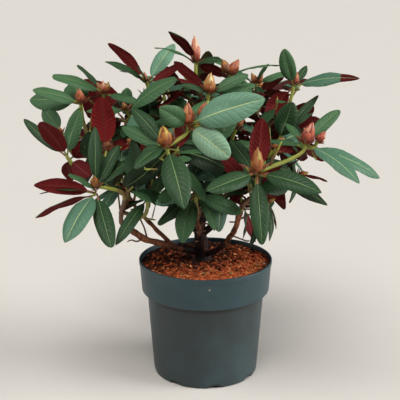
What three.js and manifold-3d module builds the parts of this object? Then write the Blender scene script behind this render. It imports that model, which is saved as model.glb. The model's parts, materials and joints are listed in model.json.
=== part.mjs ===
// A budded rhododendron in its nursery pot, in millimetres with +Z up.
//
// The origin is the centre of the pot's flat underside. +X is to the right and -Y is the front.
// Limbs are tapered tubes along curves. Foliage grows in rosettes: a twig ends in a node with one or
// more flower buds above it, and leaves stand round the node. The large leaves of a rosette are
// given one by one, and the rest follow a seeded spiral that skips whatever would touch.

import * as THREE from 'three';
import { mergeVertices } from 'three/addons/utils/BufferGeometryUtils.js';
import Module from 'manifold-3d';

const wasm = await Module();
wasm.setup();

// ---------------------------------------------------------------- driving dimensions

const GAP = 0.3; // clearance between solids that rest on each other
const SLIVERS = [0.03, 0.05, 0.08, 0.12]; // sizes of the detail that fusing drops, tried in turn

const POT = {
  height: 201,
  rimRadius: 112.5,
  collarFootRadius: 108.5,
  collarFoot: 147, // height of the collar's lower edge
  bodyTopRadius: 99.5,
  baseRadius: 89,
  baseCorner: 5,
  wall: 2.2,
  floor: 3,
  lip: 1.4, // how far the rolled lip stands out inside the rim
  sides: 40,
};
const DRAIN = { count: 8, width: 17, height: 5, reach: 12, firstAngle: -125 };
const SOIL_TOP = 194;

const TRUNK = {
  path: [[-6, 5, SOIL_TOP - 6], [-7, 4, 222], [-11, 1, 262], [-10, 0, 304]],
  radius: [11.5, 8.2],
  flare: 10, // added at the foot, fading over a share of the length
  flareShare: 0.13,
};

const COLLAR = { swell: 1.2, share: 0.07 }; // where a bough leaves its parent, as the trunk's flare

const LEAF = {
  length: 96,
  halfWidth: 0.19, // of the length
  thickness: 1.6, // from the midrib to the upper face
  rim: 0.2,
  petiole: 0.15, // share of the length without blade
  petioleRadius: 1.5,
  fold: 14, // degrees that each half of the blade rises from the midrib
  bow: 0.07, // how far the midrib arches off its chord, of the length
  stations: [0, 0.15, 0.4, 0.78, 1],
};
const WHORL = {
  turn: 137.5, // degrees from one leaf of the spiral to the next
  spread: [58, 112], // degrees off the twig, from the youngest leaf to the oldest
  sway: 14, // degrees by which that spread varies
  room: 36, // degrees kept free round a leaf that is given
  rise: 2.2, // spacing of the leaves along the twig
};
const BUD = { radius: 12, height: 33, taper: 0.35, fan: 56 }; // fan: between the outermost of several
const TWIG = {
  radius: 3.4,
  stemRadius: 4.4,
  tail: 36, // the straight part below the rosette
  tip: 6, // how far it runs on above the node
  stem: 9, // straight start of a mass's stem
  hubShare: 0.3, // where the twigs part, on the way from the bough to the middle of the rosettes
  hubRise: 8,
  forks: [0.15, 0.13], // where the first twig starts, from the hub to the stem, and the step to the next
};
const SECTIONS = { trunk: [12, 10], bough: [6, 7], twig: [4, 4], bud: [5, 4] }; // sides and steps

const SPACE = { cell: 5, reach: 400, base: 190 }; // the grid that keeps leaves apart

// Boughs: [radius at foot and tip, path]. A path starts inside the limb that carries it.
const BOUGHS = {
  bough_left_low: [[6.2, 4.8], [[-6, 4, 208], [-45, -10, 222], [-100, -28, 243], [-130, -58, 275]]],
  bough_left_thin: [[3.6, 3.2], [[-52, -12, 223], [-88, -2, 257], [-122, 6, 296], [-160, 0, 352]]],
  bough_left_high: [[5.6, 4.6], [[-10, 1, 268], [-40, 14, 318], [-78, 26, 362], [-104, 30, 398]]],
  bough_front_left: [[5.6, 4.6], [[-9, 2, 246], [-28, -44, 288], [-46, -84, 330], [-52, -108, 362]]],
  bough_front_low: [[4.6, 4], [[-8, 3, 226], [-10, -34, 252], [-14, -62, 284]]],
  bough_centre: [[5.2, 4.4], [[-10, 0, 290], [-16, -28, 338], [-16, -52, 386]]],
  bough_top: [[6, 4.6], [[-10, 0, 290], [-6, 6, 350], [6, 6, 420]]],
  bough_right_high: [[5.4, 4.6], [[-10, 0, 276], [26, 14, 330], [72, 14, 388]]],
  bough_right: [[6.2, 4.8], [[-9, 3, 238], [20, -2, 268], [48, -18, 306], [70, -52, 348]]],
  bough_front_right: [[5, 4.2], [[-6, 4, 203], [24, -20, 224], [46, -46, 262], [56, -86, 312]]],
  bough_back_left: [[5.6, 4.6], [[-8, 3, 236], [-44, 46, 284], [-92, 84, 340]]],
  bough_back: [[5.6, 4.6], [[-9, 2, 256], [-16, 52, 308], [-16, 100, 366]]],
  bough_back_right: [[5.6, 4.6], [[-10, 2, 262], [38, 48, 300], [92, 82, 346]]],
};

// Foliage: the bough that carries each mass, and its rosettes. Directions are [clock, toward]: clock
// is measured in the plane X-Z from +X, counter-clockwise seen from the front, and toward is the
// angle out of that plane to the front. A leaf is [clock, toward, length, roll, width]: roll is the
// degrees that its upper face is turned to the front or, below zero, away from it, and width is its
// share of the usual width. They are 0 and 1 where they aren't given. A rosette with a from grows on
// from an earlier one of its mass, and one with a via passes that point below its node. Buds are
// counted by buds, bud is their size and slim is their share of the usual width: 1 unless given.
const MASSES = {
  foliage_left_low: ['bough_left_low', [
    { at: [-166, -140, 358], via: [-128, -118, 346], lean: [95, 20], bud: 0.85, whorl: 1,
      leaves: [[92, -22, 96, 20, 0.6], [62, -36, 82, 10, 0.7], [34, -38, 92, 0, 0.7],
        [136, 36, 62, 20, 0.75], [-126, 54, 108, 0, 0.95], [-66, 48, 102, 0, 0.75],
        [174, -6, 98, -110, 0.7], [-176, -16, 96, -45, 0.4], [-170, 42, 112, -60, 0.45]] },
    { at: [-90, -100, 332], lean: [75, 20], bud: 0.4, whorl: 5, leaves: [[-132, 50, 104, 0, 0.55]] },
    { at: [-136, -60, 358], lean: [110, 10], whorl: 9, leaves: [] },
  ]],
  foliage_left_tip: ['bough_left_thin', [
    { at: [-200, -20, 468], lean: [95, 10], bud: 0.72, whorl: 3,
      leaves: [[158, 28, 84, 35, 0.85], [178, -18, 92, 45, 1.1], [-114, 52, 56, 0, 0.6]] },
    { at: [-228, -40, 422], lean: [115, 5], bud: 0.35, whorl: 1, leaves: [[134, -32, 60, 15, 1.2]] },
    { at: [-218, -70, 392], lean: [125, 15], bud: 0, whorl: 1,
      leaves: [[72, 10, 82, 45], [142, -18, 96, 5, 0.5], [118, 28, 84, -40], [-90, -26, 46, -70, 1.5],
        [-24, 46, 60, -170, 1.2], [38, -46, 58, -110, 1.2]] },
    { at: [-158, -50, 396], lean: [80, -30], whorl: 5, leaves: [[92, 16, 96, -20, 1.05]] },
  ]],
  foliage_left_top: ['bough_left_high', [
    { at: [-166, 20, 478], lean: [95, 0], bud: 0.6, buds: 3, whorl: 0,
      leaves: [[156, 28, 96, 35, 0.8], [136, -22, 70, 0, 0.5], [-10, 24, 68, 30, 0.7],
        [-160, -30, 36, 0, 0.7]] },
    { at: [-98, 30, 496], lean: [100, 5], bud: 0.5, slim: 0.8, whorl: 0,
      leaves: [[136, -14, 90, -95, 0.6], [148, 28, 84, 30, 0.8], [148, 40, 62, 0, 0.45],
        [30, 2, 70, -120, 0.55], [54, -38, 96, 30, 0.8], [-82, 42, 76], [112, 32, 44, 50, 0.9]] },
    { at: [-128, -10, 456], lean: [110, 30], bud: 0.55, whorl: 9, leaves: [] },
  ]],
  foliage_front_left: ['bough_front_left', [
    { at: [-58, -170, 430], lean: [98, 24], bud: 1.08, whorl: 1,
      leaves: [[-70, 44, 108], [-158, 52, 76, 10, 0.8], [-178, 46, 50, 20, 0.9], [-26, -30, 112, 30],
        [136, -32, 90, 20, 0.7], [160, -36, 92, 20, 0.7], [-136, -22, 100, 105, 1.1]] },
    { at: [-28, -150, 458], from: 0, lean: [88, 18], bud: 1.15, whorl: 1,
      leaves: [[22, 16, 124, 55], [-32, 28, 82, 50, 1.25], [138, 38, 66, 90, 1.3]] },
    { at: [-8, -146, 468], from: 1, lean: [72, 12], bud: 0.82, whorl: 0, leaves: [] },
    { at: [-116, -60, 408], lean: [120, 25], bud: 0.5, whorl: 8, leaves: [[-174, -38, 44, -140, 1.1]] },
  ]],
  foliage_front_low: ['bough_front_low', [
    { at: [-16, -110, 342], lean: [95, 25], bud: 0.55, whorl: 4,
      leaves: [[-108, 36, 82, 0, 1.1], [-16, 26, 80, 10, 0.95], [-56, 46, 72, -45],
        [-146, 18, 74, 0, 0.9]] },
    { at: [32, -70, 348], lean: [60, 30], bud: 0.5, whorl: 7, leaves: [] },
  ]],
  foliage_centre: ['bough_centre', [
    { at: [4, -70, 492], lean: [84, 8], bud: 1.1, whorl: 4,
      leaves: [[142, -32, 82, -75, 0.8], [158, 20, 50, 20, 0.8], [10, -20, 80, 10, 0.8],
        [28, -6, 70, 30, 0.8]] },
    { at: [12, -80, 406], lean: [80, 25], whorl: 9, leaves: [] },
    { at: [-40, -70, 386], lean: [100, 25], whorl: 9, leaves: [] },
  ]],
  foliage_top: ['bough_top', [
    { at: [-16, 0, 530], lean: [93, -5], bud: 1.25, slim: 0.65, whorl: 0,
      leaves: [[128, 26, 76], [162, -26, 80, 0, 0.5], [16, 50, 66, 20, 0.9]] },
    { at: [38, -10, 512], lean: [88, 0], bud: 0.95, buds: 2, whorl: 0,
      leaves: [[14, 18, 84, 0, 0.6], [168, -36, 60, -60]] },
    { at: [-70, 40, 480], lean: [105, 0], bud: 0, whorl: 8, leaves: [] },
  ]],
  foliage_right_high: ['bough_right_high', [
    { at: [142, 0, 494], lean: [75, 0], bud: 0.75, whorl: 2,
      leaves: [[108, 20, 68, 120], [50, -40, 50, 20, 0.7], [14, 32, 116, 45, 0.75],
        [-136, 10, 64, -105, 1.2]] },
    { at: [84, 30, 492], lean: [88, 0], bud: 0.65, buds: 2, whorl: 3,
      leaves: [[62, 20, 42, 45], [18, -24, 60, 15, 0.8], [-62, 62, 32, 40, 1.2]] },
    { at: [118, -30, 412], lean: [60, 5], bud: 0, whorl: 5,
      leaves: [[48, -8, 94, 0, 0.5], [40, 4, 70, 20, 0.6], [74, 18, 72, 140, 1.3]] },
  ]],
  foliage_right: ['bough_right', [
    { at: [148, -40, 354], lean: [20, 10], bud: 0.5, whorl: 2,
      leaves: [[2, 44, 60, 20, 0.5], [-110, 38, 50, 0, 0.8]] },
    { at: [64, -12, 296], lean: [-70, 10], bud: 0, whorl: 0,
      leaves: [[-72, 24, 64, -40, 0.65], [-92, 12, 58, 20, 0.6]] },
    { at: [108, -60, 398], lean: [60, 10], whorl: 8, leaves: [[34, 48, 50, 40]] },
    { at: [48, -50, 434], lean: [80, 15], whorl: 9, leaves: [] },
  ]],
  foliage_front_right: ['bough_front_right', [
    { at: [74, -165, 390], lean: [90, 24], bud: 1.3, slim: 0.7, whorl: 0,
      leaves: [[-170, 36, 92, 20, 0.9], [-86, 30, 108, 0, 0.7], [-10, 28, 104, 20, 0.85],
        [-22, 8, 114, 0, 0.6], [132, -42, 76, 20, 0.9], [84, -16, 86, -175, 0.95]] },
    { at: [148, -135, 426], from: 0, lean: [75, 8], bud: 1, whorl: 0,
      leaves: [[40, -24, 78, 25, 0.7], [-30, 40, 108, 15, 0.8], [-24, -4, 128, 20, 0.75],
        [134, -52, 60, 20, 0.6], [180, -38, 72, 20, 0.6], [-38, -40, 60, -40]] },
    { at: [166, -130, 428], from: 1, lean: [55, 10], bud: 0.7, whorl: 0, leaves: [] },
    { at: [96, -80, 324], lean: [20, 30], bud: 0.5, whorl: 3,
      leaves: [[-88, 44, 72, 0, 0.6], [-70, -4, 52, -40, 0.7], [-112, 34, 80, 30, 0.45]] },
  ]],
  foliage_back_left: ['bough_back_left', [
    { at: [-184, 92, 410], lean: [140, -30], bud: 0.7, whorl: 8 },
    { at: [-138, 156, 392], lean: [120, -50], bud: 0.7, whorl: 8 },
    { at: [-130, 112, 430], lean: [130, -55], bud: 0.7, whorl: 8 },
  ]],
  foliage_back: ['bough_back', [
    { at: [-44, 204, 420], lean: [100, -50], bud: 0.7, whorl: 8 },
    { at: [44, 200, 380], lean: [70, -60], bud: 0.7, whorl: 8 },
    { at: [-4, 136, 458], lean: [92, -45], bud: 0.7, whorl: 8 },
    { at: [-76, 148, 344], lean: [130, -40], bud: 0.7, whorl: 8 },
  ]],
  foliage_back_right: ['bough_back_right', [
    { at: [132, 100, 384], lean: [40, -40], bud: 0.7, whorl: 8 },
    { at: [126, 160, 396], lean: [60, -55], bud: 0.7, whorl: 8 },
    { at: [92, 116, 466], lean: [75, -35], bud: 0.7, whorl: 8 },
    { at: [112, 128, 330], lean: [20, -50], bud: 0.7, whorl: 8 },
  ]],
};

const FINISH = {
  pot: { color: 0x3c5054, roughness: 0.5 },
  soil: { color: 0x6b3a20, roughness: 0.95 },
  wood: { color: 0x4a2c20, roughness: 0.85 },
  bark: { color: 0x8a4c2a, roughness: 0.75 },
  leaf: { color: 0x3f6a4c, roughness: 0.45 },
};

// ---------------------------------------------------------------- small tools

const rad = THREE.MathUtils.degToRad;
const vec = (p) => new THREE.Vector3(...p);
const mix = THREE.MathUtils.lerp;

/** A repeatable number from 0 to 1 for a pair of whole numbers. */
function chance(a, b) {
  const wave = Math.sin(a * 127.1 + b * 311.7) * 43758.5453;
  return wave - Math.floor(wave);
}

/** The unit vector of a [clock, toward] pair. */
function heading([clock, toward]) {
  const flat = Math.cos(rad(toward));
  return new THREE.Vector3(
    Math.cos(rad(clock)) * flat,
    -Math.sin(rad(toward)),
    Math.sin(rad(clock)) * flat,
  );
}

/** Moves every vertex of a geometry to place(vertex) and merges those that then meet. */
function bend(geometry, place) {
  const spots = geometry.attributes.position;
  const at = new THREE.Vector3();
  for (let i = 0; i < spots.count; i++) {
    at.fromBufferAttribute(spots, i);
    spots.setXYZ(i, ...place(at.clone()));
  }
  geometry.deleteAttribute('normal');
  geometry.deleteAttribute('uv');
  return mergeVertices(geometry, 1e-3);
}

/** A closed geometry as a manifold solid. */
function solid(geometry) {
  return new wasm.Manifold(new wasm.Mesh({
    numProp: 3,
    vertProperties: new Float32Array(geometry.attributes.position.array),
    triVerts: new Uint32Array(geometry.index.array),
  }));
}

/** A solid's surface as a geometry. */
function surfaceOf(shape) {
  const { vertProperties, triVerts } = shape.getMesh();
  return new THREE.BufferGeometry()
    .setAttribute('position', new THREE.BufferAttribute(vertProperties, 3))
    .setIndex(new THREE.BufferAttribute(triVerts, 1));
}

/** A solid made again from its surface, with vertices that nearly meet merged. */
const remade = (shape) => solid(mergeVertices(surfaceOf(shape), 1e-3));

/** Whether each edge of a solid joins just two triangles. */
function isPlain(shape) {
  const { index } = mergeVertices(surfaceOf(shape), 1e-4);
  const edges = new Map();
  for (let i = 0; i < index.count; i++) {
    const [from, to] = [index.getX(i), index.getX(i % 3 === 2 ? i - 2 : i + 1)];
    const edge = `${Math.min(from, to)}-${Math.max(from, to)}`;
    edges.set(edge, (edges.get(edge) ?? 0) + 1);
  }
  return [...edges.values()].every((count) => count === 2);
}

/** The largest closed body of a solid, without loose scraps, sealed hollows and slivers. */
function wholeOf(shape) {
  let whole;
  SLIVERS.some((size) => {
    const bodies = remade(shape.simplify(size)).decompose();
    whole = bodies.reduce((best, body) => (body.volume() > best.volume() ? body : best));
    return isPlain(whole) && isPlain(remade(whole));
  });
  return whole;
}

/** A named mesh of a solid, with the colour of its finish. */
function node(name, shape, finish) {
  const geometry = surfaceOf(shape);
  geometry.computeVertexNormals();
  const mesh = new THREE.Mesh(geometry, new THREE.MeshStandardMaterial({ ...finish, metalness: 0 }));
  mesh.name = name;
  return mesh;
}

// ---------------------------------------------------------------- pot and soil

/** The pot's outer radius at a height below the collar. */
const bodyRadius = (z) => mix(POT.baseRadius, POT.bodyTopRadius, z / POT.collarFoot);

/** A solid of revolution about Z from a profile of [radius, height] points, counter-clockwise. */
function turned(profile, sides) {
  const points = profile.map(([r, z]) => new THREE.Vector2(r, z));
  const lathe = new THREE.LatheGeometry(points, sides);
  lathe.rotateX(Math.PI / 2);
  return solid(bend(lathe, (p) => p));
}

/** Thin-walled pot with a deep collar, a rolled lip and drain slots round the corner of its base. */
function makePot() {
  const { height, rimRadius, collarFootRadius, collarFoot, baseRadius, baseCorner, wall, floor, lip } = POT;
  const step = 4; // height of the slope that joins the collar to the body
  const shell = turned([
    [0, 0],
    [baseRadius - baseCorner, 0],
    [baseRadius - 1.5, 1.5],
    [bodyRadius(baseCorner), baseCorner],
    [bodyRadius(collarFoot), collarFoot],
    [collarFootRadius - 1.5, collarFoot],
    [collarFootRadius, collarFoot + 2],
    [rimRadius, height - 2],
    [rimRadius - 0.8, height],
    [rimRadius - wall - lip, height],
    [rimRadius - wall - lip, height - 3],
    [collarFootRadius - wall, collarFoot + step],
    [bodyRadius(collarFoot) - wall, collarFoot - step],
    [bodyRadius(floor) - wall, floor],
    [0, floor],
  ], POT.sides);
  let pot = shell;
  for (let i = 0; i < DRAIN.count; i++) {
    const slot = new THREE.BoxGeometry(DRAIN.reach, DRAIN.width, DRAIN.height);
    slot.translate(baseRadius - DRAIN.reach / 2 + 1, 0, DRAIN.height / 2 - 0.01);
    slot.rotateZ(rad(DRAIN.firstAngle + (i * 360) / DRAIN.count));
    pot = pot.subtract(solid(bend(slot, (p) => p)));
  }
  return wholeOf(pot);
}

/** The root ball's growing medium, filling the pot to just under its rim. */
function makeSoil() {
  const { collarFoot, collarFootRadius, rimRadius, height, floor, wall } = POT;
  const inset = wall + GAP;
  const collarRadius = (z) => mix(collarFootRadius, rimRadius, (z - collarFoot) / (height - collarFoot));
  return turned([
    [0, floor + GAP],
    [bodyRadius(floor) - inset - 0.5, floor + GAP],
    [bodyRadius(collarFoot) - inset - 0.3, collarFoot - 5],
    [collarFootRadius - inset - 0.5, collarFoot + 4],
    [collarRadius(SOIL_TOP) - inset - 1, SOIL_TOP - 2],
    [collarRadius(SOIL_TOP) - inset - 4, SOIL_TOP],
    [0, SOIL_TOP],
  ], POT.sides);
}

// ---------------------------------------------------------------- limbs

/** A tube along a smooth curve through points, with its radius given by girth(share of the way). */
function tube(points, girth, sides, steps) {
  const curve = new THREE.CatmullRomCurve3(points, false, 'centripetal');
  const frames = curve.computeFrenetFrames(steps, false);
  return bend(new THREE.CylinderGeometry(1, 1, 1, sides, steps), ({ x, y, z }) => {
    const t = Math.round((y + 0.5) * steps);
    const radius = girth(t / steps);
    return curve.getPointAt(t / steps)
      .addScaledVector(frames.binormals[t], x * radius)
      .addScaledVector(frames.normals[t], z * radius);
  });
}

/** The trunk's radius, with its root flare, at a share of its length. */
const trunkGirth = (share) => (
  mix(...TRUNK.radius, share) + TRUNK.flare * Math.exp(-share / TRUNK.flareShare)
);

/** A bough's radius, with the collar where it leaves its parent, at a share of its length. */
const boughGirth = (radii) => (share) => (
  mix(...radii, share) + COLLAR.swell * Math.exp(-share / COLLAR.share)
);

/** Every limb by name: its curve's points, its girth, and its solid cut clear of its parents. */
function makeLimbs() {
  const limbs = new Map();
  const guards = []; // each limb swollen by the gap, to cut the later ones
  const add = (name, points, girth, sections) => {
    const make = (swell) => solid(tube(points, (share) => girth(share) + swell, ...sections));
    const clear = guards.reduce((shape, guard) => shape.subtract(guard), make(0));
    guards.push(make(GAP));
    limbs.set(name, { points, girth, shape: wholeOf(clear) });
  };
  const ground = new THREE.BoxGeometry(100, 100, 50);
  ground.translate(0, 0, SOIL_TOP + GAP - 25);
  guards.push(solid(bend(ground, (p) => p)));
  add('trunk', TRUNK.path.map(vec), trunkGirth, SECTIONS.trunk);
  for (const [name, [radii, path]] of Object.entries(BOUGHS)) {
    add(name, path.map(vec), boughGirth(radii), SECTIONS.bough);
  }
  return limbs;
}

// ---------------------------------------------------------------- the space that leaves share

/** A grid of small cells that notes which leaf or limb holds each part of the crown. */
class Space {
  constructor() {
    this.side = Math.ceil((2 * SPACE.reach) / SPACE.cell);
    this.cells = new Int16Array(this.side ** 3);
    this.masses = [0]; // the mass of each holder, by its number
  }

  /** A new holder's number. */
  enter(mass) {
    this.masses.push(mass);
    return this.masses.length - 1;
  }

  index(x, y, z) {
    const i = Math.floor((x + SPACE.reach) / SPACE.cell);
    const j = Math.floor((y + SPACE.reach) / SPACE.cell);
    const k = Math.floor((z - SPACE.base) / SPACE.cell);
    return (k * this.side + j) * this.side + i;
  }

  /** Notes the cells round each spot that nothing holds yet. */
  claim(spots, holder) {
    for (const { x, y, z } of spots) {
      for (let i = 0; i < 27; i++) {
        const dx = (i % 3) - 1;
        const dy = (Math.floor(i / 3) % 3) - 1;
        const dz = Math.floor(i / 9) - 1;
        const cell = this.index(x + dx * SPACE.cell, y + dy * SPACE.cell, z + dz * SPACE.cell);
        this.cells[cell] ||= holder;
      }
    }
  }

  /** Whether every spot is free of other masses, and of anything at all where alone is true. */
  isFree(spots, mass, alone) {
    return spots.every(({ x, y, z }) => {
      const holder = this.cells[this.index(x, y, z)];
      return !holder || (!alone && this.masses[holder] === mass);
    });
  }
}

/** Spots along a tube's surface and middle, close enough to fill its cells. */
function tubeSpots(points, girth) {
  const curve = new THREE.CatmullRomCurve3(points, false, 'centripetal');
  const steps = Math.ceil(curve.getLength() / SPACE.cell);
  const spots = [];
  for (let i = 0; i <= steps; i++) {
    const middle = curve.getPointAt(i / steps);
    const radius = girth(i / steps);
    spots.push(middle.clone());
    for (const across of [vec([radius, 0, 0]), vec([0, radius, 0]), vec([0, 0, radius])]) {
      spots.push(middle.clone().add(across), middle.clone().sub(across));
    }
  }
  return spots;
}

// ---------------------------------------------------------------- leaves and buds

/** The share of a leaf's full half width at a share of its length. */
function outline(s) {
  const along = (s - LEAF.petiole) / (1 - LEAF.petiole);
  return along <= 0 ? 0 : Math.sin(Math.PI * Math.min(1, along) ** 0.92) ** 0.72;
}

/** A leaf laid out from its root: chord along, upper face up, and side across. */
function layLeaf(root, along, axis, length, roll = 0, width = 1) {
  const up = axis.clone().addScaledVector(along, -axis.dot(along)).normalize();
  const side = new THREE.Vector3().crossVectors(up, along);
  const turn = side.y < 0 ? rad(roll) : -rad(roll);
  const [cos, sin] = [Math.cos(turn), Math.sin(turn)];
  const face = up.clone().multiplyScalar(cos).addScaledVector(side, sin);
  return { root, along, up: face, side: new THREE.Vector3().crossVectors(face, along), length, width };
}

/** A spot on a leaf's middle surface: s along it from 0 to 1, and a across it from -1 to 1. */
function leafSpot({ root, along, up, side, length, width }, s, a) {
  const half = length * LEAF.halfWidth * width * outline(s);
  const arch = 4 * s * (1 - s) * LEAF.bow * length;
  return root.clone()
    .addScaledVector(along, s * length)
    .addScaledVector(side, a * half)
    .addScaledVector(up, arch + Math.abs(a) * half * Math.tan(rad(LEAF.fold)));
}

/** Spots over a leaf between two shares of its length. */
function leafSpots(leaf, from, to) {
  const spots = [];
  const rows = Math.ceil(((to - from) * leaf.length) / (SPACE.cell * 0.8));
  for (let i = 0; i <= rows; i++) {
    for (let j = -4; j <= 4; j++) spots.push(leafSpot(leaf, mix(from, to, i / rows), j / 4));
  }
  return spots;
}

/** A leaf's solid: flat above and ridged along the midrib below, drawn to a point at each end. */
function leafSolid(leaf) {
  const rings = LEAF.stations.length - 1;
  return solid(bend(new THREE.SphereGeometry(1, 3, rings), ({ x, y, z }) => {
    const ring = Math.round((Math.acos(THREE.MathUtils.clamp(y, -1, 1)) / Math.PI) * rings);
    const s = LEAF.stations[ring];
    if (ring === 0 || ring === rings) return leafSpot(leaf, s, 0);
    const corner = x < 0 ? 0 : -Math.sign(z); // 0 at the ridge, and 1 and -1 at the edges
    const spot = leafSpot(leaf, s, corner);
    if (ring === 1) spot.addScaledVector(leaf.side, corner * LEAF.petioleRadius);
    return spot.addScaledVector(leaf.up, corner ? LEAF.rim : -LEAF.thickness);
  }));
}

/** A pointed bud's solid, from its foot along an axis. */
function budSolid(foot, axis, size, slim) {
  const side = new THREE.Vector3(0, 1, 0).cross(axis).normalize();
  const front = new THREE.Vector3().crossVectors(side, axis);
  return solid(bend(new THREE.SphereGeometry(1, ...SECTIONS.bud), ({ x, y, z }) => {
    const rise = (1 - y) / 2;
    const swell = BUD.radius * size * slim * (1 - BUD.taper * rise);
    return foot.clone()
      .addScaledVector(axis, rise * BUD.height * size)
      .addScaledVector(side, -x * swell)
      .addScaledVector(front, z * swell);
  }));
}

/** The given leaves of a rosette, in order. */
function givenLeaves({ at, leaves = [] }, axis) {
  return leaves.map(([clock, toward, length, roll, width], i) => {
    const root = vec(at).addScaledVector(axis, -WHORL.rise * i * 0.6);
    return layLeaf(root, heading([clock, toward]), axis, length, roll, width);
  });
}

/** The ways that a spiral leaf tries to find room, as turn, spread and length changes. */
const TRIES = [
  [0, 0, 1], [14, 0, 1], [-14, 0, 1], [0, -14, 1], [0, 12, 1], [26, -8, 0.9], [-26, -8, 0.9],
  [40, 0, 0.8], [-40, 0, 0.8], [0, 0, 0.75],
];

/** One leaf of a rosette's seeded spiral, changed by one of the tries. */
function spiralLeaf(shoot, axis, key, i, [turn, spread, shrink]) {
  const first = new THREE.Vector3(0.3, -1, 0.2).cross(axis).normalize();
  const second = new THREE.Vector3().crossVectors(axis, first);
  const round = rad(360 * chance(key, 1) + WHORL.turn * i + turn);
  const sway = WHORL.sway * (chance(key, 20 + i) - 0.5);
  const off = rad(mix(...WHORL.spread, (i + 0.5) / shoot.whorl) + sway + spread);
  const along = axis.clone().multiplyScalar(Math.cos(off))
    .addScaledVector(first, Math.sin(off) * Math.cos(round))
    .addScaledVector(second, Math.sin(off) * Math.sin(round));
  const length = LEAF.length * mix(0.8, 1.08, chance(key, 40 + i)) * shrink;
  const root = vec(shoot.at).addScaledVector(axis, -WHORL.rise * (i + 2));
  return layLeaf(root, along.normalize(), axis, length);
}

// ---------------------------------------------------------------- masses of foliage

const BARE = 0.12; // share of a leaf, from its root, that may touch anything
const CROWDED = 0.36; // share that may touch leaves of its own mass

/** A mass's stem and its twigs, one to each rosette, as the points and girth of each. */
function layTwigs(limb, shoots) {
  const tip = limb.points.at(-1);
  const way = tip.clone().sub(limb.points.at(-2)).normalize();
  const mains = shoots.filter(({ from }) => from === undefined);
  const mean = mains.reduce((sum, { at }) => sum.add(vec(at)), new THREE.Vector3())
    .divideScalar(mains.length);
  const start = tip.clone().addScaledVector(way, GAP);
  const hub = start.clone().lerp(mean, TWIG.hubShare).addScaledVector(way, TWIG.hubRise);
  const stem = [start, start.clone().addScaledVector(way, TWIG.stem), hub];
  const twigs = shoots.map(({ at, lean, from, via }, i) => {
    const axis = heading(lean);
    const inside = hub.clone().lerp(stem[1], TWIG.forks[0] + TWIG.forks[1] * i);
    const foot = from === undefined ? [inside, hub] : [vec(shoots[from].at)];
    const tail = from === undefined ? TWIG.tail : TWIG.tail / 3;
    const neck = via ? vec(via) : vec(at).addScaledVector(axis, -tail);
    return [...foot, neck, vec(at).addScaledVector(axis, TWIG.tip)];
  });
  return [[stem, TWIG.stemRadius], ...twigs.map((points) => [points, TWIG.radius])];
}

/** The buds above a rosette, fanned where there are several. */
function makeBuds({ at, bud = 1, buds = 1, slim = 1 }, axis, key) {
  if (!bud) return [];
  return Array.from({ length: buds }, (_, i) => {
    const fan = buds > 1 ? rad(BUD.fan) * (i / (buds - 1) - 0.5) : 0;
    const way = axis.clone().applyAxisAngle(new THREE.Vector3(0, 1, 0), fan);
    const size = bud * mix(0.85, 1.08, chance(key, 60 + i));
    return budSolid(vec(at).addScaledVector(way, 2), way, size, slim);
  });
}

/** Grows every mass: its twigs, then the given leaves of all, then the leaves of the spirals. */
function growMasses(limbs) {
  const space = new Space();
  for (const { points, girth } of limbs.values()) {
    space.claim(tubeSpots(points, girth), space.enter(0));
  }
  const masses = Object.entries(MASSES).map(([name, [bough, shoots]], index) => {
    const mass = { name, number: index + 1, shoots, parts: [], leaves: [] };
    for (const [points, radius] of layTwigs(limbs.get(bough), shoots)) {
      mass.parts.push(solid(tube(points, () => radius, ...SECTIONS.twig)));
      space.claim(tubeSpots(points, () => radius), space.enter(mass.number));
    }
    return mass;
  });

  const grow = (mass, leaf, alone) => {
    if (!space.isFree(leafSpots(leaf, BARE, 1), mass.number, false)) return false;
    if (alone && !space.isFree(leafSpots(leaf, CROWDED, 1), mass.number, true)) return false;
    space.claim(leafSpots(leaf, BARE, 1), space.enter(mass.number));
    mass.leaves.push(leaf);
    return true;
  };
  const eachShoot = (visit) => masses.forEach((mass) => mass.shoots.forEach((shoot, place) => {
    visit(mass, shoot, heading(shoot.lean), mass.number * 10 + place);
  }));

  eachShoot((mass, shoot, axis, key) => {
    mass.parts.push(...makeBuds(shoot, axis, key));
    givenLeaves(shoot, axis).forEach((leaf) => grow(mass, leaf, false));
  });
  eachShoot((mass, shoot, axis, key) => {
    const given = givenLeaves(shoot, axis);
    for (let i = 0; i < shoot.whorl; i++) {
      TRIES.some((change) => {
        const leaf = spiralLeaf(shoot, axis, key, i, change);
        const near = given.some(({ along }) => along.angleTo(leaf.along) < rad(WHORL.room));
        return !near && grow(mass, leaf, true);
      });
    }
  });
  return masses;
}

// ---------------------------------------------------------------- the plant

const plant = new THREE.Group();
plant.add(node('pot', makePot(), FINISH.pot));
plant.add(node('soil', makeSoil(), FINISH.soil));

const limbs = makeLimbs();
for (const [name, { shape }] of limbs) {
  plant.add(node(name, shape, name === 'trunk' ? FINISH.wood : FINISH.bark));
}
for (const { name, parts, leaves } of growMasses(limbs)) {
  const whole = [...parts, ...leaves.map(leafSolid)].reduce((sum, part) => sum.add(part));
  plant.add(node(name, wholeOf(whole), FINISH.leaf));
}

export default plant;
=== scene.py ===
"""A budded rhododendron standing in its nursery pot.

Lengths are in millimetres, with +Z up, +X to the right and -Y to the front, from the centre of the
pot's flat underside. Meshes are scaled to metres as they are made.
"""

import json
import logging
import math
from collections.abc import Callable, Iterable, Iterator, Sequence
from dataclasses import dataclass, field, replace
from enum import Enum, IntEnum
from functools import cached_property
from itertools import pairwise
from typing import Any

import bmesh
import bpy
import numpy as np
from bmesh.types import BMesh
from bpy.types import Material, NodeSocket, Object
from mathutils import Matrix, Vector, noise

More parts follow.
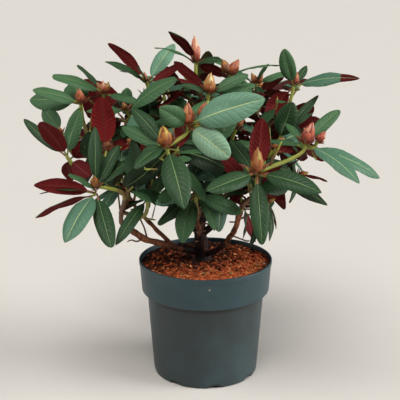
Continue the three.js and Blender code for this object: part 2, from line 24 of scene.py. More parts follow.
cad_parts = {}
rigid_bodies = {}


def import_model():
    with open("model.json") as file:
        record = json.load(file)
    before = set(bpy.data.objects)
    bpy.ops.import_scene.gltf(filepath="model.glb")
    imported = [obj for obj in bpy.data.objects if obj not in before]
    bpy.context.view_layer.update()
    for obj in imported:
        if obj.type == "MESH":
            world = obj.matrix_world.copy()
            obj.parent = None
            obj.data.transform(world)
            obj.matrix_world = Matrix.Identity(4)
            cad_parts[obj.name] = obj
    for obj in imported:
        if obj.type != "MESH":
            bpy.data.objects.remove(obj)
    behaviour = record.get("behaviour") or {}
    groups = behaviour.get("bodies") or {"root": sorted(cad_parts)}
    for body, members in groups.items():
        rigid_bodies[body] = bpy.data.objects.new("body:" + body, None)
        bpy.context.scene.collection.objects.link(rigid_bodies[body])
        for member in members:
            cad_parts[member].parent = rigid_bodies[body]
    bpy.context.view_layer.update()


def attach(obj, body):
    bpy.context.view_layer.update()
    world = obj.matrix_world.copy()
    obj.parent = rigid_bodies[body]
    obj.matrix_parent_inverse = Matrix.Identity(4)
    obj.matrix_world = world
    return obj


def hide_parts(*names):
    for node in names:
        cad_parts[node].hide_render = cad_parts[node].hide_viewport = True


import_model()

Array = np.ndarray
Colour = tuple[float, float, float]
Point = tuple[float, float, float]
Pair = tuple[float, float]

MM = 0.001  # metres in a millimetre
log = logging.getLogger("rhododendron")


# ---- numbers and directions


def chance(a: float, b: float) -> float:
    """Gives a repeatable number from 0 to 1 for a pair of whole numbers."""
    wave = math.sin(a * 127.1 + b * 311.7) * 43758.5453
    return wave - math.floor(wave)


def mix(low: Any, high: Any, share: Any) -> Any:
    """Gives the value at a share of the way from low to high."""
    return low + (high - low) * share


def unit(vector: Array) -> Array:
    """Scales a vector to a length of 1."""
    return vector / np.linalg.norm(vector)


def ease(low: float, high: float, value: Array) -> Array:
    """Rises smoothly from 0 to 1 as value goes from low to high."""
    share = np.clip((value - low) / (high - low), 0, 1)
    return share * share * (3 - 2 * share)


def heading(clock: float, toward: float) -> Array:
    """Turns two angles into a direction.

    Args:
        clock: Degrees from +X, counter-clockwise as seen from the front.
        toward: Degrees out of the plane X-Z, to the front.

    Returns:
        A unit vector.
    """
    flat = math.cos(math.radians(toward))
    return np.array([
        math.cos(math.radians(clock)) * flat,
        -math.sin(math.radians(toward)),
        math.sin(math.radians(clock)) * flat,
    ])


def swung(vector: Array, axis: Array, degrees: float) -> Array:
    """Turns a vector about an axis."""
    return np.array(Matrix.Rotation(math.radians(degrees), 3, Vector(axis)) @ Vector(vector))


def radial(angles: Array | float, first: Array, second: Array) -> Array:
    """Gives the directions at angles, in radians, from one direction across an axis to another."""
    return np.cos(angles)[..., None] * first + np.sin(angles)[..., None] * second


class Course:
    """A smooth curve through points, measured along its own length."""

    DIVISIONS = 200
    NUDGE = 1e-3  # share of the length to each side over which its direction is taken

    def __init__(self, points: Sequence[Sequence[float]]) -> None:
        """Fits the curve.

        Args:
            points: The points that it passes, three or more.
        """
        self.points = np.array(points, float)
        self._times = np.linspace(0, 1, self.DIVISIONS + 1)
        steps = np.linalg.norm(np.diff(self._at_times(self._times), axis=0), axis=1)
        self._reach = np.concatenate([[0.0], np.cumsum(steps)])
        self.length = float(self._reach[-1])

    def _at_times(self, times: Array) -> Array:
        """Gives points of a centripetal Catmull-Rom spline.

        Args:
            times: Times from 0 at the first of its points to 1 at the last.

        Returns:
            The spline's points at those times.
        """
        points = self.points
        padded = np.vstack([2 * points[0] - points[1], points, 2 * points[-1] - points[-2]])
        place = np.asarray(times, float) * (len(points) - 1)
        span = np.minimum(place.astype(int), len(points) - 2)
        part = (place - span)[:, None]
        near = [padded[span + i] for i in range(4)]
        p0, p1, p2, p3 = near
        d0, d1, d2 = (np.sqrt(np.linalg.norm(b - a, axis=1))[:, None] for a, b in pairwise(near))
        leave = ((p1 - p0) / d0 - (p2 - p0) / (d0 + d1) + (p2 - p1) / d1) * d1
        arrive = ((p2 - p1) / d1 - (p3 - p1) / (d1 + d2) + (p3 - p2) / d2) * d1
        square = 3 * (p2 - p1) - 2 * leave - arrive
        cube = 2 * (p1 - p2) + leave + arrive
        return p1 + leave * part + square * part**2 + cube * part**3

    def at(self, shares: Array) -> Array:
        """Gives the points at shares of the curve's length."""
        return self._at_times(np.interp(np.asarray(shares, float) * self.length, self._reach, self._times))

    def frames(self, shares: Array) -> tuple[Array, Array, Array]:
        """Gives the curve's points and a frame that doesn't twist along it.

        Args:
            shares: Shares of the curve's length, rising.

        Returns:
            The points, and two directions across the curve at each of them.
        """
        points = self.at(shares)
        ahead = self.at(np.minimum(shares + self.NUDGE, 1)) - self.at(np.maximum(shares - self.NUDGE, 0))
        ahead /= np.linalg.norm(ahead, axis=1)[:, None]
        first = np.empty_like(points)
        across = np.cross(ahead[0], [0.0, 1.0, 0.0] if abs(ahead[0][1]) < 0.9 else [1.0, 0.0, 0.0])
        for i, way in enumerate(ahead):
            across = unit(across - way * float(across @ way))
            first[i] = across
        return points, first, np.cross(ahead, first)


# ---- finishes


def operator(operation: str, turned_round: bool = False) -> Callable[["Signal", Any], "Signal"]:
    """Makes the method for a sign of arithmetic.

    Args:
        operation: The Math node's operation.
        turned_round: Whether the other value comes first.

    Returns:
        The method.
    """

    def method(self: "Signal", other: "Signal | float") -> "Signal":
        """Applies the operation to the signal and another value."""
        return self.maths(operation, *((other, self) if turned_round else (self, other)))

    return method


class Signal:
    """A shader socket that takes part in Python expressions."""

    def __init__(self, board: "Board", socket: NodeSocket) -> None:
        """Wraps a socket of a board's node."""
        self.board = board
        self.socket = socket

    def maths(self, operation: str, *values: "Signal | float") -> "Signal":
        """Adds a Math node for an operation on values."""
        return self.board.node("ShaderNodeMath", {"operation": operation}, dict(enumerate(values)))

    __add__ = __radd__ = operator("ADD")
    __sub__ = operator("SUBTRACT")
    __rsub__ = operator("SUBTRACT", True)
    __mul__ = __rmul__ = operator("MULTIPLY")
    __pow__ = operator("POWER")

    def size(self) -> "Signal":
        """Gives the value without its sign."""
        return self.maths("ABSOLUTE", self)

    def fold(self, width: float) -> "Signal":
        """Sends the value to and fro between 0 and a width."""
        return self.maths("PINGPONG", self, width)

    def between(self, low: float, high: float) -> "Signal":
        """Gives 0 below low, 1 above high, and a smooth rise between them."""
        inputs = {"Value": self, "From Min": low, "From Max": high}
        return self.board.node("ShaderNodeMapRange", {"interpolation_type": "SMOOTHSTEP"}, inputs)


class Board:
    """A material's node tree, with one Principled shader."""

    def __init__(self, name: str) -> None:
        """Starts a material.

        Args:
            name: The material's name.
        """
        self.material = bpy.data.materials.new(name)
        self.material.use_nodes = True
        self.tree = self.material.node_tree
        self.shader = next(n for n in self.tree.nodes if n.type == "BSDF_PRINCIPLED")

    def node(
        self, kind: str, settings: dict[str, Any], inputs: dict[Any, Any], output: int | str = 0
    ) -> Signal:
        """Adds a node.

        Args:
            kind: The node's type.
            settings: Its attributes.
            inputs: A value or a signal for each socket that isn't left as it is.
            output: The socket that is wanted.

        Returns:
            The wanted output.
        """
        made = self.tree.nodes.new(kind)
        for key, value in settings.items():
            setattr(made, key, value)
        for key, value in inputs.items():
            self.feed(made.inputs[key], value)
        return Signal(self, made.outputs[output])

    def feed(self, socket: NodeSocket, value: Any) -> None:
        """Gives a socket what it takes.

        Args:
            socket: The socket.
            value: A signal that is linked to it, or a plain value that it is set to.
        """
        if isinstance(value, Signal):
            self.tree.links.new(value.socket, socket)
        elif socket.type == "RGBA" and len(value) == 3:
            socket.default_value = (*value, 1.0)
        else:
            socket.default_value = value

    def place(self) -> Signal:
        """Gives the place on the object, in metres."""
        return self.node("ShaderNodeTexCoord", {}, {}, "Object")

    def surface(self) -> tuple[Signal, Signal]:
        """Gives the piece's own map: along it, and across it."""
        both = self.node("ShaderNodeTexCoord", {}, {}, "UV")
        return self.part(both, 0), self.part(both, 1)

    def part(self, vector: Signal, axis: int) -> Signal:
        """Takes one of a vector's three numbers."""
        return self.node("ShaderNodeSeparateXYZ", {}, {0: vector}, axis)

    def vectors(self, operation: str, *values: Signal | Point, output: str = "Vector") -> Signal:
        """Adds a Vector Math node for an operation on values."""
        inputs = dict(enumerate(values))
        return self.node("ShaderNodeVectorMath", {"operation": operation}, inputs, output)

    def grain(
        self, scale: float, detail: float = 3.0, rough: float = 0.55, stretch: Point = (1, 1, 1)
    ) -> Signal:
        """Adds noise on the object's own coordinates.

        Args:
            scale: Patches in a metre.
            detail: How many finer layers it has.
            rough: How strong those layers are.
            stretch: A further scale along each axis.

        Returns:
            A value around 0.5.
        """
        where = self.node("ShaderNodeMapping", {}, {"Vector": self.place(), "Scale": stretch})
        inputs = {"Vector": where, "Scale": scale, "Detail": detail, "Roughness": rough}
        return self.node("ShaderNodeTexNoise", {}, inputs)

    def ramp(self, value: Signal, *stops: tuple[float, Colour]) -> Signal:
        """Turns a value into a colour.

        Args:
            value: The value.
            *stops: The places from 0 to 1 and the colours between which it moves, in rising order.

        Returns:
            The colour.
        """
        colour = self.node("ShaderNodeValToRGB", {}, {0: value})
        elements = colour.socket.node.color_ramp.elements
        while len(elements) < len(stops):
            elements.new(1.0)
        for element, (place, shade) in zip(elements, stops, strict=True):
            element.position = place
            element.color = (*shade, 1.0)
        return colour

    def blend(self, share: Signal | float, low: Any, high: Any) -> Signal:
        """Mixes two colours by a share, with the Mix node's sockets for colours."""
        inputs = {"Factor": share, 6: low, 7: high}
        return self.node("ShaderNodeMix", {"data_type": "RGBA"}, inputs, 2)

    def dress(
        self, height: Signal | None = None, depth: float = 0.0005, **sockets: Any
    ) -> Material:
        """Sets the shader's sockets.

        Args:
            height: What raises the surface, from 0 to 1.
            depth: How far it rises, in metres.
            **sockets: Values or signals by socket name, with _ for a space.

        Returns:
            The finished material.
        """
        for key, value in sockets.items():
            self.feed(self.shader.inputs[key.replace("_", " ")], value)
        if height is not None:
            bump = self.node("ShaderNodeBump", {}, {"Height": height, "Distance": depth, "Strength": 1.0})
            self.feed(self.shader.inputs["Normal"], bump)
        return self.material


@dataclass(frozen=True)
class LeafSkin:
    """The leathery skin of a leaf: one plain colour, with its side veins and pores as relief."""

    name: str
    colour: Colour
    gloss: float = 0.28  # how much of the light shines off it
    roughness: float = 0.52
    coat: float = 0.035  # wax
    veins: float = 12  # side veins on each half
    relief: float = 0.0013
    slant: float = 1.8  # how far the veins run forward on their way to the edge
    waver: float = 1.1  # how far they stray

    def material(self) -> Material:
        """Makes the finish.

        Returns:
            The finished material.
        """
        board = Board(self.name)
        along, across = board.surface()
        off = (across - 0.5).size() * 2.0
        drift = board.grain(55, 2)
        stripe = (along * self.veins - off * self.slant + drift * self.waver).fold(0.5) * 2.0
        net = board.grain(420, 3, 0.6)
        cloud = board.grain(28, 2)
        return board.dress(
            height=(1.0 - stripe**4) * 0.5 + net * 0.5,
            depth=self.relief,
            Base_Color=self.colour,
            Roughness=self.roughness + (cloud - 0.5) * 0.2 + (net - 0.5) * 0.12,
            Specular_IOR_Level=self.gloss,
            Coat_Weight=self.coat,
            Coat_Roughness=0.3,
        )


@dataclass(frozen=True)
class ScaleSkin:
    """The dry, ribbed skin of a bud scale or a young shoot."""

    name: str
    colour: Colour
    roughness: float = 0.45
    ribs: float = 7

    def material(self) -> Material:
        """Makes the finish.

        Returns:
            The finished material.
        """
        board = Board(self.name)
        _, across = board.surface()
        ribs = (across * self.ribs).fold(0.5) * 2.0
        grain = board.grain(500, 3)
        return board.dress(
            height=ribs * 0.5 + grain * 0.5,
            depth=0.0003,
            Base_Color=self.colour,
            Roughness=self.roughness + (grain - 0.5) * 0.3,
        )


@dataclass(frozen=True)
class Bark:
    """Furrowed bark: nearly black in its cracks, darkest near the pot's axis with painted shade of the
    crown, redder and paler out on the boughs.
    """

    name: str
    dark: Colour
    middle: Colour
    pale: Colour
    outer: Pair = (0.022, 0.075)  # metres from the pot's axis where its painted shade fades and it turns paler

    def material(self) -> Material:
        """Makes the finish.

        Returns:
            The finished material.
        """
        board = Board(self.name)
        flakes = board.grain(70, 5, 0.65, (1, 1, 0.3))
        cracks = board.grain(240, 4, 0.7, (1, 1, 0.35))
        level = board.vectors("MULTIPLY", board.place(), (1, 1, 0))
        far = board.vectors("LENGTH", level, output="Value")
        # painted shade of the crown: darker near the trunk, paler farther out
        tone_and_shade = flakes * 0.6 + cracks * 0.4 + far.between(*self.outer) * 0.19 - 0.15
        colour = board.ramp(tone_and_shade, (0.38, self.dark), (0.47, self.middle), (0.60, self.pale))
        return board.dress(
            height=cracks * 0.6 + flakes * 0.4,
            depth=0.0016,
            Base_Color=colour,
            Roughness=0.72 + flakes * 0.2,
            Specular_IOR_Level=0.3,
        )


@dataclass(frozen=True)
class Plastic:
    """Matt moulded plastic with a fine grain, clouded by dust and handling, darker below a collar with grime
    and painted shade, and with a painted shadow right under the collar.
    """

    name: str
    colour: Colour
    dust: Colour
    # the colour that the body below the collar is blended toward: painted shade of the collar throughout,
    # and grime in clouds and streaks
    grime_and_shade: Colour
    shadow: Colour  # of the painted shadow right under the collar
    collar: float  # metres: the height of the collar's foot
    shadow_band: Pair = (0.012, 0.0035)  # metres under it where the painted shadow begins and is full

    def material(self) -> Material:
        """Makes the finish.

        Returns:
            The finished material.
        """
        board = Board(self.name)
        clouds = board.grain(9, 4, 0.6)
        streaks = board.grain(30, 4, 0.6, (1, 1, 0.18))
        grain = board.grain(1400, 2)
        specks = board.grain(420, 2).between(0.7, 0.78)
        dusty = clouds.between(0.42, 0.7) * 0.5 + streaks.between(0.5, 0.8) * 0.25 + specks * 0.12
        height = board.part(board.place(), 2)
        above = height.between(self.collar, self.collar + 0.0006)
        # painted shadow right under the collar's overhang, in a narrow band down the body
        shade = height.between(*(self.collar - depth for depth in self.shadow_band)) * (1 - above)
        # painted shade of the collar over the whole body below it, with more grime in clouds and streaks
        body = (1 - above) * (0.3 + clouds.between(0.7, 0.35) * 0.35 + streaks.between(0.45, 0.75) * 0.2)
        grimy_and_shaded = board.blend(body, board.blend(dusty, self.colour, self.dust), self.grime_and_shade)
        return board.dress(
            height=grain * 0.6 + clouds * 0.4,
            depth=0.00025,
            Base_Color=board.blend(shade * 0.95, grimy_and_shaded, self.shadow),
            Roughness=0.4 + clouds * 0.18 + specks * 0.1,
            Specular_IOR_Level=0.5,
        )


@dataclass(frozen=True)
class Earth:
    """Crumbly bark and peat in several browns, paler with painted light on one side and darker with painted
    shade on the other.
    """

    name: str
    colours: tuple[Colour, ...]
    light_way: Point = (3.4, -5.0, 0.0)  # the way to its painted light, and how soon it changes, per metre
    depth: float = 0.003

    def material(self) -> Material:
        """Makes the finish.

        Returns:
            The finished material.
        """
        board = Board(self.name)
        lumps = board.grain(170, 5, 0.7)
        crumbs = board.grain(520, 3, 0.7)
        places = np.linspace(0.30, 0.66, len(self.colours))
        stops = [(float(place), colour) for place, colour in zip(places, self.colours, strict=True)]
        lean = {"Vector": board.place(), "Scale": self.light_way}
        across = board.node("ShaderNodeMapping", {}, lean)
        lit_side = board.vectors("DOT_PRODUCT", across, (1, 1, 1), output="Value")
        # painted light and shade: paler to the front and right, darker behind and to the left
        shift = lit_side.between(-0.55, 0.55) * 0.26 - 0.15
        return board.dress(
            height=lumps * 0.6 + crumbs * 0.4,
            depth=self.depth,
            Base_Color=board.ramp(lumps * 0.6 + crumbs * 0.4 + shift, *stops),
            Roughness=0.95 - crumbs * 0.1,
            Specular_IOR_Level=0.2,
        )


@dataclass(frozen=True)
class Crumb:
    """One plain colour of loose crumbs, with a rough face."""

    name: str
    colour: Colour

    def material(self) -> Material:
        """Makes the finish.

        Returns:
            The finished material.
        """
        board = Board(self.name)
        face = board.grain(900, 3, 0.7)
        return board.dress(
            height=face,
            depth=0.0006,
            Base_Color=self.colour,
            Roughness=0.85 + face * 0.1,
            Specular_IOR_Level=0.25,
        )


# ---- making meshes


def begun_at(face: tuple[int, ...], rank: Callable[[int], Any]) -> tuple[int, ...]:
    """Turns a face's points so that the one of the highest rank comes first."""
    first = max(range(len(face)), key=lambda place: rank(face[place]))
    return face[first:] + face[:first]


NONE = np.zeros(0)
AT_EDGE = 0.99  # places across something flat, beyond which a point is on its edge


@dataclass(frozen=True)
class Template:
    """A skin to be bent: the ring and column of each point, from pole to pole, and its faces."""

    rings: Array
    columns: Array
    faces: list[tuple[int, ...]]
    around: int  # the number of columns
    along: int  # the number of steps from pole to pole

    @staticmethod
    def sleeve(around: int, along: int) -> "Template":
        """Makes a closed skin of rings between two poles.

        Args:
            around: The number of columns.
            along: The number of steps from pole to pole.

        Returns:
            The skin, with its faces outward for columns that run counter-clockwise.
        """
        work = bmesh.new()
        bmesh.ops.create_uvsphere(work, u_segments=around, v_segments=along, radius=1)
        work.verts.index_update()
        spots = np.array([v.co for v in work.verts])
        faces = [[v.index for v in face.verts] for face in work.faces]
        work.free()
        rings = np.rint(np.arccos(np.clip(-spots[:, 2], -1, 1)) / math.pi * along).astype(int)
        columns = np.rint(np.arctan2(spots[:, 1], spots[:, 0]) / (2 * math.pi) * around).astype(int) % around
        order = np.lexsort((columns, rings))
        numbers = np.argsort(order)
        faces = sorted(begun_at(tuple(int(numbers[i]) for i in face), lambda i: -i) for face in faces)
        return Template(rings[order], columns[order], faces, around, along)

    @property
    def poles(self) -> Array:
        """Whether each point is one of the two poles."""
        return (self.rings == 0) | (self.rings == self.along)

    @property
    def shares(self) -> Array:
        """How far each point is on the way from pole to pole, from 0 to 1."""
        return self.rings / self.along

    @property
    def angles(self) -> Array:
        """Where each point stands round the skin, in radians."""
        return 2 * math.pi * self.columns / self.around

    def marks(self, rule: Callable[[Array, Array], int]) -> Array:
        """Gives each face the number that a rule makes of its points' rings and columns."""
        return np.array([rule(self.rings[list(f)], self.columns[list(f)]) for f in self.faces])

    def tube(self, middles: Array, ways: tuple[Array, Array], radii: Array) -> Array:
        """Bends the skin into a tube, by each point's middle, two directions across there and a radius."""
        return middles + radial(self.angles, *ways) * np.where(self.poles, 0, radii)[:, None]

    def flat(self, along: Array, across: Array) -> tuple[Array, Array]:
        """Maps flat skin, by shares along it and places from -1 to 1 across it, and marks its sharp rim."""
        return np.stack([along, 0.5 + across / 2], axis=1), (abs(across) > AT_EDGE) | self.poles


class Stock:
    """Bent copies of templates, gathered to be joined in one piece."""

    def __init__(self) -> None:
        """Starts empty."""
        self._parts: list[tuple[Array, ...]] = []
        self._count = 0

    def add(
        self, template: Template, spots: Array, slots: Array | int, charts: Array = NONE, rims: Array = NONE
    ) -> None:
        """Adds one or more copies of a template.

        Args:
            template: The skin that they are bent from.
            spots: Their points, in millimetres: copies by points by 3, or points by 3 for one copy.
            slots: The finish of all of them, of each face, or of each face of each copy.
            charts: The map's two numbers for each point of a copy.
            rims: Whether each point of a copy lies on a sharp rim.
        """
        points = len(template.rings)
        copies = spots.size // (3 * points)
        shifts = self._count + points * np.arange(copies)
        corners = np.concatenate([np.array(f) for f in template.faces])
        sizes = np.array([len(f) for f in template.faces])
        charts = charts if charts.size else np.zeros((points, 2))
        rims = rims if rims.size else np.zeros(points, bool)
        self._parts.append((
            spots.reshape(-1, 3),
            (corners + shifts[:, None]).ravel(),
            np.tile(sizes, copies),
            np.broadcast_to(slots, (copies, len(sizes))).ravel(),
            np.tile(charts, (copies, 1)),
            np.tile(rims, copies),
        ))
        self._count += copies * points

    def piece(self, name: str, finishes: Sequence[Material]) -> Object:
        """Joins what was added.

        Args:
            name: The piece's name.
            finishes: Its materials, in the order of the slots.

        Returns:
            The new object.
        """
        spots, corners, sizes, slots, charts, rims = map(np.concatenate, zip(*self._parts, strict=True))
        mesh = bpy.data.meshes.new(name)
        mesh.vertices.add(self._count)
        mesh.vertices.foreach_set("co", (spots * MM).ravel())
        mesh.loops.add(len(corners))
        mesh.loops.foreach_set("vertex_index", corners)
        mesh.polygons.add(len(sizes))
        mesh.polygons.foreach_set("loop_start", np.concatenate([[0], np.cumsum(sizes)[:-1]]))
        mesh.polygons.foreach_set("material_index", slots)
        mesh.polygons.foreach_set("use_smooth", np.ones(len(sizes), bool))
        mesh.uv_layers.new(name="skin").data.foreach_set("uv", charts[corners].ravel())
        mesh.update(calc_edges=True)
        ends = np.empty(len(mesh.edges) * 2, int)
        mesh.edges.foreach_get("vertices", ends)
        mesh.edges.foreach_set("use_edge_sharp", rims[ends].reshape(-1, 2).all(axis=1))
        mesh.validate()
        return Piece.of_mesh(name, mesh, finishes)


class Piece:
    """The ways in which a finished mesh becomes a piece of the plant."""

    @staticmethod
    def of_mesh(
        name: str, mesh: bpy.types.Mesh, finishes: Iterable[Material]
    ) -> Object:
        """Links a mesh into the scene.

        Args:
            name: The piece's name.
            mesh: The mesh.
            finishes: Its materials.

        Returns:
            The new object.
        """
        for finish in finishes:
            mesh.materials.append(finish)
        made = bpy.data.objects.new(name, mesh)
        bpy.context.scene.collection.objects.link(made)
        return made

    @staticmethod
    def of_work(
        name: str, work: BMesh, finishes: Iterable[Material]
    ) -> Object:
        """Turns a bmesh into a smooth piece.

        Args:
            name: The piece's name.
            work: The bmesh, in millimetres, which is used up.
            finishes: Its materials.

        Returns:
            The new object.
        """
        bmesh.ops.scale(work, vec=(MM, MM, MM), verts=work.verts)
        for face in work.faces:
            face.smooth = True
        mesh = bpy.data.meshes.new(name)
        work.to_mesh(mesh)
        work.free()
        return Piece.of_mesh(name, mesh, finishes)

    @staticmethod
    def settle(made: Object, slot: str, *nodes: str) -> Object:
        """Fixes a piece to the plant.

        Args:
            made: The piece.
            slot: The record's material slot; not used.
            *nodes: The solids that it stands for.

        Returns:
            The same piece.
        """
        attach(made, "root")
        if nodes:
            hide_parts(*nodes)
        log.info("%s: %d faces", made.name, len(made.data.polygons))
        return made


def turned(profile: Sequence[Pair], steps: int) -> BMesh:
    """Spins a profile about the upright axis into a closed skin.

    Args:
        profile: Radius and height of each point, from the axis and back to it.
        steps: The number of steps round the axis.

    Returns:
        A bmesh with its faces outward.
    """
    work = bmesh.new()
    spots = [work.verts.new((radius, 0, height)) for radius, height in profile]
    rails = [work.edges.new(pair) for pair in pairwise(spots)]
    whole = {"cent": (0, 0, 0), "axis": (0, 0, 1), "angle": 2 * math.pi, "use_merge": True}
    bmesh.ops.spin(work, geom=spots + rails, steps=steps, **whole)
    bmesh.ops.remove_doubles(work, verts=work.verts, dist=MM)
    bmesh.ops.recalc_face_normals(work, faces=work.faces)
    return work


def rounded(points: Sequence[Point], steps: int = 5) -> list[Pair]:
    """Rounds the corners of a profile.

    Args:
        points: Radius, height and corner radius of each point.
        steps: The number of steps in each round.

    Returns:
        Radius and height of each point of the rounded profile.
    """
    made: list[Pair] = []
    for i, (x, y, corner) in enumerate(points):
        if not corner:
            made.append((x, y))
            continue
        here = np.array([x, y])
        back, ahead = (np.array(points[j][:2]) - here for j in (i - 1, i + 1))
        back, ahead = unit(back), unit(ahead)
        half = math.acos(float(np.clip(back @ ahead, -1, 1))) / 2
        reach = corner / math.tan(half)
        for share in np.linspace(0, 1, steps + 1):
            bend = mix(back * (1 - share), ahead * share, share)
            made.append(tuple(here + bend * reach))
    return made


# ---- the plan of the plant


class Tone(Enum):
    """How pale a leaf's upper face is: shades of one green, which mostly paint in the light and shade on the
    leaf.
    """

    DEEP = 0
    MID = 1
    FRESH = 2
    WAXY = 3
    PALE = 4
    SILVER = 5


class Tint(Enum):
    """The colours of a flower bud: of its lowest scales, its body and its tip."""

    CORAL = ((0.18, 0.036, 0.013), (0.35, 0.090, 0.030), (0.46, 0.19, 0.065))
    ORANGE = ((0.21, 0.052, 0.011), (0.36, 0.125, 0.020), (0.40, 0.30, 0.045))
    CREAM = ((0.30, 0.088, 0.028), (0.37, 0.175, 0.042), (0.66, 0.55, 0.24))
    TAN = ((0.14, 0.040, 0.014), (0.30, 0.110, 0.034), (0.46, 0.26, 0.080))
    PINK = ((0.30, 0.055, 0.034), (0.52, 0.18, 0.095), (0.66, 0.43, 0.27))
    ROSE = ((0.18, 0.026, 0.014), (0.38, 0.078, 0.038), (0.50, 0.22, 0.13))
    AMBER = ((0.27, 0.070, 0.020), (0.38, 0.135, 0.040), (0.42, 0.32, 0.085))
    RUST = ((0.12, 0.036, 0.009), (0.24, 0.076, 0.013), (0.34, 0.16, 0.028))


@dataclass(frozen=True)
class Limb:
    """A tapering limb: its radii at foot and tip, and the points that its middle passes."""

    radii: Pair
    path: tuple[Point, ...]
    flare: float = 1.2  # added at the foot
    fade: float = 0.0714  # share of the length over which the flare fades

    def girth(self, share: Array) -> Array:
        """Gives the radius at shares of the length."""
        return mix(*self.radii, share) + self.flare * np.exp(-share / self.fade)


@dataclass(frozen=True)
class Rosette:
    """A whorl of leaves under one or more flower buds.

    Directions are clock and toward, as heading takes them. A leaf adds its length and where its
    upper face is turned to the front or, below zero, away from it, the degrees of that roll, and
    then its share of the usual width.
    """

    at: Point
    lean: Pair
    parent: int | None = None  # the rosette of the same mass that it grows on from
    via: Point | None = None  # a spot that its twig passes below it
    whorl: int = 0  # leaves of the seeded spiral
    bud: float = 1.0  # size of the buds
    slim: float = 1.0  # their share of the usual width
    buds: int = 1
    tints: tuple[Tint, ...] = (Tint.TAN,)  # of its buds, from left to right
    leaves: tuple[tuple[float, ...], ...] = ()
    tones: str = ""  # of those leaves, in order, as the numbers of Tone
    curled: tuple[int, ...] = ()  # those whose tips are rolled over


@dataclass(frozen=True)
class Mass:
    """A mass of foliage: the bough that carries it and its rosettes."""

    bough: str
    rosettes: tuple[Rosette, ...]


def hidden(bough: str, *places: tuple[Point, Pair, Tint]) -> Mass:
    """Plans a mass behind the crown: seeded whorls at places, in directions, under buds of a colour."""
    plain = Rosette((0, 0, 0), (0, 0), whorl=8, bud=0.7)
    return Mass(bough, tuple(replace(plain, at=at, lean=lean, tints=(tint,)) for at, lean, tint in places))


SOIL_TOP = 194.0
TRUNK = Limb(
    (11.5, 8.2), ((-6, 5, SOIL_TOP - 6), (-7, 4, 222), (-11, 1, 262), (-10, 0, 304)), flare=10, fade=0.13
)
BOUGHS: dict[str, Limb] = {
    "bough_left_low": Limb((6.2, 4.8), ((-6, 4, 208), (-45, -10, 222), (-100, -28, 243), (-130, -58, 275))),
    "bough_left_thin": Limb((3.6, 3.2), ((-52, -12, 223), (-88, -2, 257), (-122, 6, 296), (-160, 0, 352))),
    "bough_left_high": Limb((5.6, 4.6), ((-10, 1, 268), (-40, 14, 318), (-78, 26, 362), (-104, 30, 398))),
    "bough_front_left": Limb((5.6, 4.6), ((-9, 2, 246), (-28, -44, 288), (-46, -84, 330), (-52, -108, 362))),
    "bough_front_low": Limb((4.6, 4), ((-8, 3, 226), (-10, -34, 252), (-14, -62, 284))),
    "bough_centre": Limb((5.2, 4.4), ((-10, 0, 290), (-16, -28, 338), (-16, -52, 386))),
    "bough_top": Limb((6, 4.6), ((-10, 0, 290), (-6, 6, 350), (6, 6, 420))),
    "bough_right_high": Limb((5.4, 4.6), ((-10, 0, 276), (26, 14, 330), (72, 14, 388))),
    "bough_right": Limb((6.2, 4.8), ((-9, 3, 238), (20, -2, 268), (48, -18, 306), (70, -52, 348))),
    "bough_front_right": Limb((5, 4.2), ((-6, 4, 203), (24, -20, 224), (46, -46, 262), (56, -86, 312))),
    "bough_back_left": Limb((5.6, 4.6), ((-8, 3, 236), (-44, 46, 284), (-92, 84, 340))),
    "bough_back": Limb((5.6, 4.6), ((-9, 2, 256), (-16, 52, 308), (-16, 100, 366))),
    "bough_back_right": Limb((5.6, 4.6), ((-10, 2, 262), (38, 48, 300), (92, 82, 346))),
}

